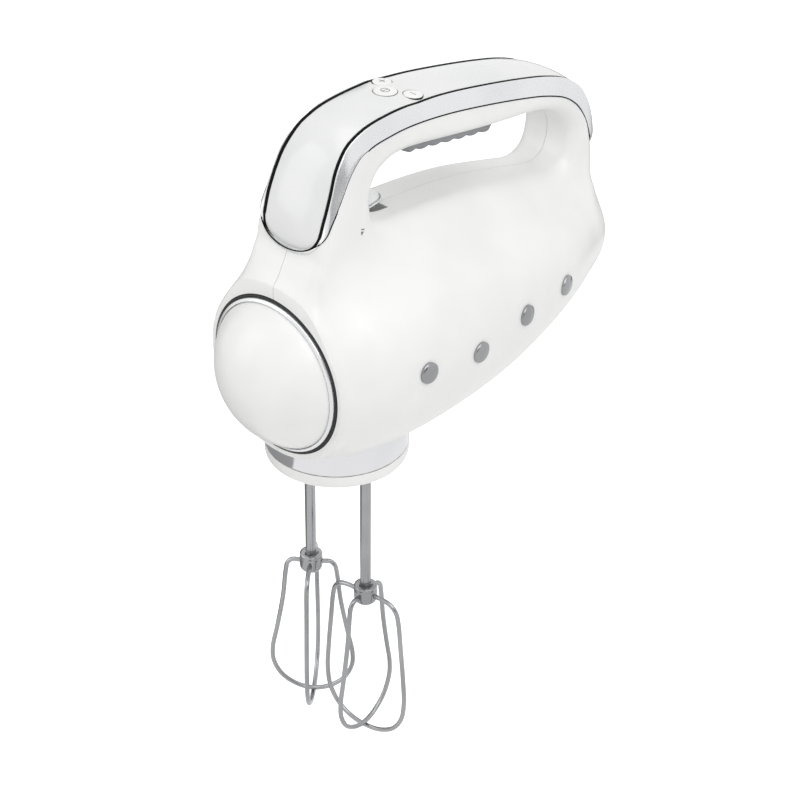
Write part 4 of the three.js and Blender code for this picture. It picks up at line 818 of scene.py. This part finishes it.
# Eject mark: a small solid triangle over a bar, printed low on the front post.
pick()
bpy.ops.mesh.primitive_cylinder_add(vertices=3, radius=1.5 * MM, depth=0.12 * MM, location=(0, 0.4 * MM, 0))
triangle = bpy.context.object
triangle.scale.y = 0.8
bpy.ops.object.transform_apply(location=True, rotation=True, scale=True)
bar = block("bar", (-1.4, -1.5, -0.06), (1.4, -0.95, 0.06))
pick(bar, triangle)
bpy.ops.object.join()
mark = bpy.context.object
mark.name = mark.data.name = "eject_mark"
spot, out = on_body(26.0, -3.5, 127.6, 1)
sideways = Vector((0, -0.35, -0.93)).cross(out).normalized()
turn = Matrix((sideways, out.cross(sideways), out)).transposed()
moved(mark, Matrix.Translation((spot + out * 0.04) * MM) @ turn.to_4x4())
place_piece(mark, "body", print_ink, slot="plastic_dark")

# ------------------------------------------------------------------ beaters

WIDE_LOOP = [(3.4, HUB_Z), (6, HUB_Z), (10.5, HUB_Z), (15.5, HUB_Z - 1.2), (18.8, HUB_Z - 4.6),
             (20.2, HUB_Z - 10), (21.8, HUB_Z - 26), (23.4, HUB_Z - 44), (24.2, HUB_Z - 60),
             (22.6, HUB_Z - 71), (17.6, HUB_Z - 79.6), (9, HUB_Z - 85.0)]
PEAR_LOOP = [(3.4, HUB_Z), (6, HUB_Z), (9.6, HUB_Z), (12, HUB_Z - 2.2), (13, HUB_Z - 7), (14.8, HUB_Z - 24),
             (18.2, HUB_Z - 44), (20.8, HUB_Z - 58), (20.4, HUB_Z - 67), (16, HUB_Z - 76), (8, HUB_Z - 82)]
WIRE = 1.22


def wire_loop(name, half_line, lowest, angle, x):
    """Bent wire, both ends in the hub, made as a bevelled path and turned to mesh."""
    flat = [*half_line, (0, lowest), *[(-r, z) for r, z in reversed(half_line)]]
    line = smooth_line(flat, each=9)
    pick()
    bpy.ops.curve.primitive_nurbs_path_add(location=(0, 0, 0))
    path = bpy.context.object
    path.data.splines.clear()
    spline = path.data.splines.new("POLY")
    spline.points.add(len(line) - 1)
    for point, (r, z) in zip(spline.points, line):
        point.co = ((x + r * math.cos(angle)) * MM, r * math.sin(angle) * MM, z * MM, 1)
    path.data.bevel_depth = WIRE * MM
    path.data.bevel_resolution = 4
    path.data.use_fill_caps = True
    bpy.ops.object.convert(target="MESH")
    obj = bpy.context.object
    obj.name = obj.data.name = name
    in_edit_mode(obj, merge_and_face_out)
    return smooth(obj, 50)


for side, x, rest, wide_turn in (("left", SPINDLE_X, 7, 0), ("right", -SPINDLE_X, 38, 90)):
    centre = (x, 0, 0)
    rod = turned(f"beater_rod_{side}", [
        (0, -81.4), (2.7, -81.4, 0.3), (2.7, 19.6, 0.3), (2.2, 21, 0.4), (2.2, 23, 0.4), (2.7, 24.4, 0.3),
        (2.7, 29.8, 0.4), (1.7, 31, 0.3), (0, 31)], "Z", centre, 48)
    place_piece(smooth(rod), f"beater_{side}", stainless, f"beater_shaft_{side}")
    hub = turned(f"beater_crimp_{side}", [
        (2.75, -82.2), (4.0, -82.2, 0.6), (5.6, -80.6, 0.6), (5.85, -78.6, 0.4), (5.85, -74.6, 0.4),
        (5.5, -73.6, 0.3), (5.85, -72.8, 0.3), (5.6, -71.9, 0.5), (4.2, -71.6, 0.4), (2.75, -72.2)],
        "Z", centre, 64)
    place_piece(smooth(hub, 50), f"beater_{side}", stainless, f"beater_hub_{side}")
    wide, pear = math.radians(rest + wide_turn), math.radians(rest + 90 - wide_turn)
    place_piece(wire_loop(f"wire_wide_{side}", WIDE_LOOP, LOOP_FOOT_Z, wide, x), f"beater_{side}", stainless,
                f"wide_loop_{side}")
    place_piece(wire_loop(f"wire_pear_{side}", PEAR_LOOP, LOOP_FOOT_Z + 2.6, pear, x), f"beater_{side}",
                stainless, f"pear_loop_{side}")

# ------------------------------------------------------------------ stage, lights, camera

pick()
bpy.ops.mesh.primitive_plane_add(size=8, location=(0, 0, -0.1662))
floor = bpy.context.object
floor.name = "floor"


def stage_surface(name, colour, glow=0.0, roughness=0.9):
    """Plain stage material, glowing white by the given strength."""
    material = bpy.data.materials.new(name)
    material.use_nodes = True
    inputs = material.node_tree.nodes["Principled BSDF"].inputs
    inputs["Base Color"].default_value = linear(colour)
    inputs["Roughness"].default_value = roughness
    inputs["Emission Color"].default_value = linear("#FFFFFF")
    inputs["Emission Strength"].default_value = glow
    return material


floor.data.materials.append(stage_surface("studio_paper", "#FFFFFF", 0.62))
floor.visible_diffuse = floor.visible_glossy = floor.visible_shadow = False
# The sheet that lights the object from below is a little darker than the one that is seen.
bounce = floor.copy()
bounce.data = floor.data.copy()
bounce.name = "floor_bounce"
bounce.data.transform(Matrix.Translation((0, 0, -0.0004)))
bpy.context.collection.objects.link(bounce)
bounce.data.materials[0] = stage_surface("bounce_paper", "#B4B4B4", 0.4)
bounce.visible_camera = bounce.visible_glossy = False
bounce.visible_diffuse = bounce.visible_shadow = True

# A bright tent that only mirror-like surfaces see.
pick()
bpy.ops.mesh.primitive_uv_sphere_add(segments=48, ring_count=24, radius=2.6, location=(0, 0.06, 0.05))
tent = bpy.context.object
tent.name = "white_tent"
tent.data.materials.append(stage_surface("tent_cloth", "#000000", 0.98, 0.5))
tent.visible_camera = tent.visible_diffuse = tent.visible_shadow = tent.visible_transmission = False

world = bpy.data.worlds.new("studio")
world.use_nodes = True
world.node_tree.nodes["Background"].inputs["Color"].default_value = linear("#FFFFFF")
world.node_tree.nodes["Background"].inputs["Strength"].default_value = 0.6
bpy.context.scene.world = world


def soft_light(name, azimuth, elevation, distance, size, power):
    """Soft box aimed at the body, placed by its angles in degrees."""
    pick()
    a, e = math.radians(azimuth), math.radians(elevation)
    aim = Vector((0, 0.06, 0.05))
    place = aim + Vector((math.sin(a) * math.cos(e), -math.cos(a) * math.cos(e), math.sin(e))) * distance
    bpy.ops.object.light_add(type="AREA", location=place)
    light = bpy.context.object
    light.name = name
    light.data.shape, light.data.size, light.data.size_y = "RECTANGLE", size[0], size[1]
    light.data.energy = power
    light.rotation_euler = (place - aim).to_track_quat("Z", "Y").to_euler()


soft_light("key_light", 75, 42, 1.4, (1.2, 0.9), 5.9)
soft_light("top_light", 20, 84, 1.5, (1.4, 1.4), 5.0)
soft_light("left_light", -40, 22, 1.6, (0.7, 1.2), 3.0)

# Grey cards that only mirror-like surfaces see, for the darker edges that polished metal needs.
card_grey = stage_surface("grey_card", "#A0A0A0", 0.0, 0.95)
for name, low, high in (("card_floor_left", (-900, -260, -165.8), (-110, 500, -164.8)),
                        ("card_left", (-620, -60, -160), (-618, 600, 330)),
                        ("card_front_right", (620, -800, 120), (622, 90, 520)),
                        ("card_floor_back", (-900, 600, -165.8), (150, 1700, -164.8))):
    card = block(name, low, high)
    card.data.materials.append(card_grey)
    card.visible_camera = card.visible_diffuse = card.visible_shadow = False

azimuth, elevation, roll = (math.radians(v) for v in (42.685, 33.060, 0.614))
back_way = Vector((math.sin(azimuth) * math.cos(elevation), -math.cos(azimuth) * math.cos(elevation),
                   math.sin(elevation)))
right = Vector((math.cos(azimuth), math.sin(azimuth), 0))
up = back_way.cross(right)
across = right * math.cos(roll) + up * math.sin(roll)
upward = up * math.cos(roll) - right * math.sin(roll)
pick()
bpy.ops.object.camera_add()
camera = bpy.context.object
camera.matrix_world = Matrix.Translation((0.6159, -0.6235, 0.5985)) @ Matrix(
    (across, upward, back_way)).transposed().to_4x4()
camera.data.sensor_width, camera.data.lens = 36, 99.2
camera.data.clip_start, camera.data.clip_end = 0.05, 20
bpy.context.scene.camera = camera
bpy.context.scene.view_settings.view_transform = "Standard"
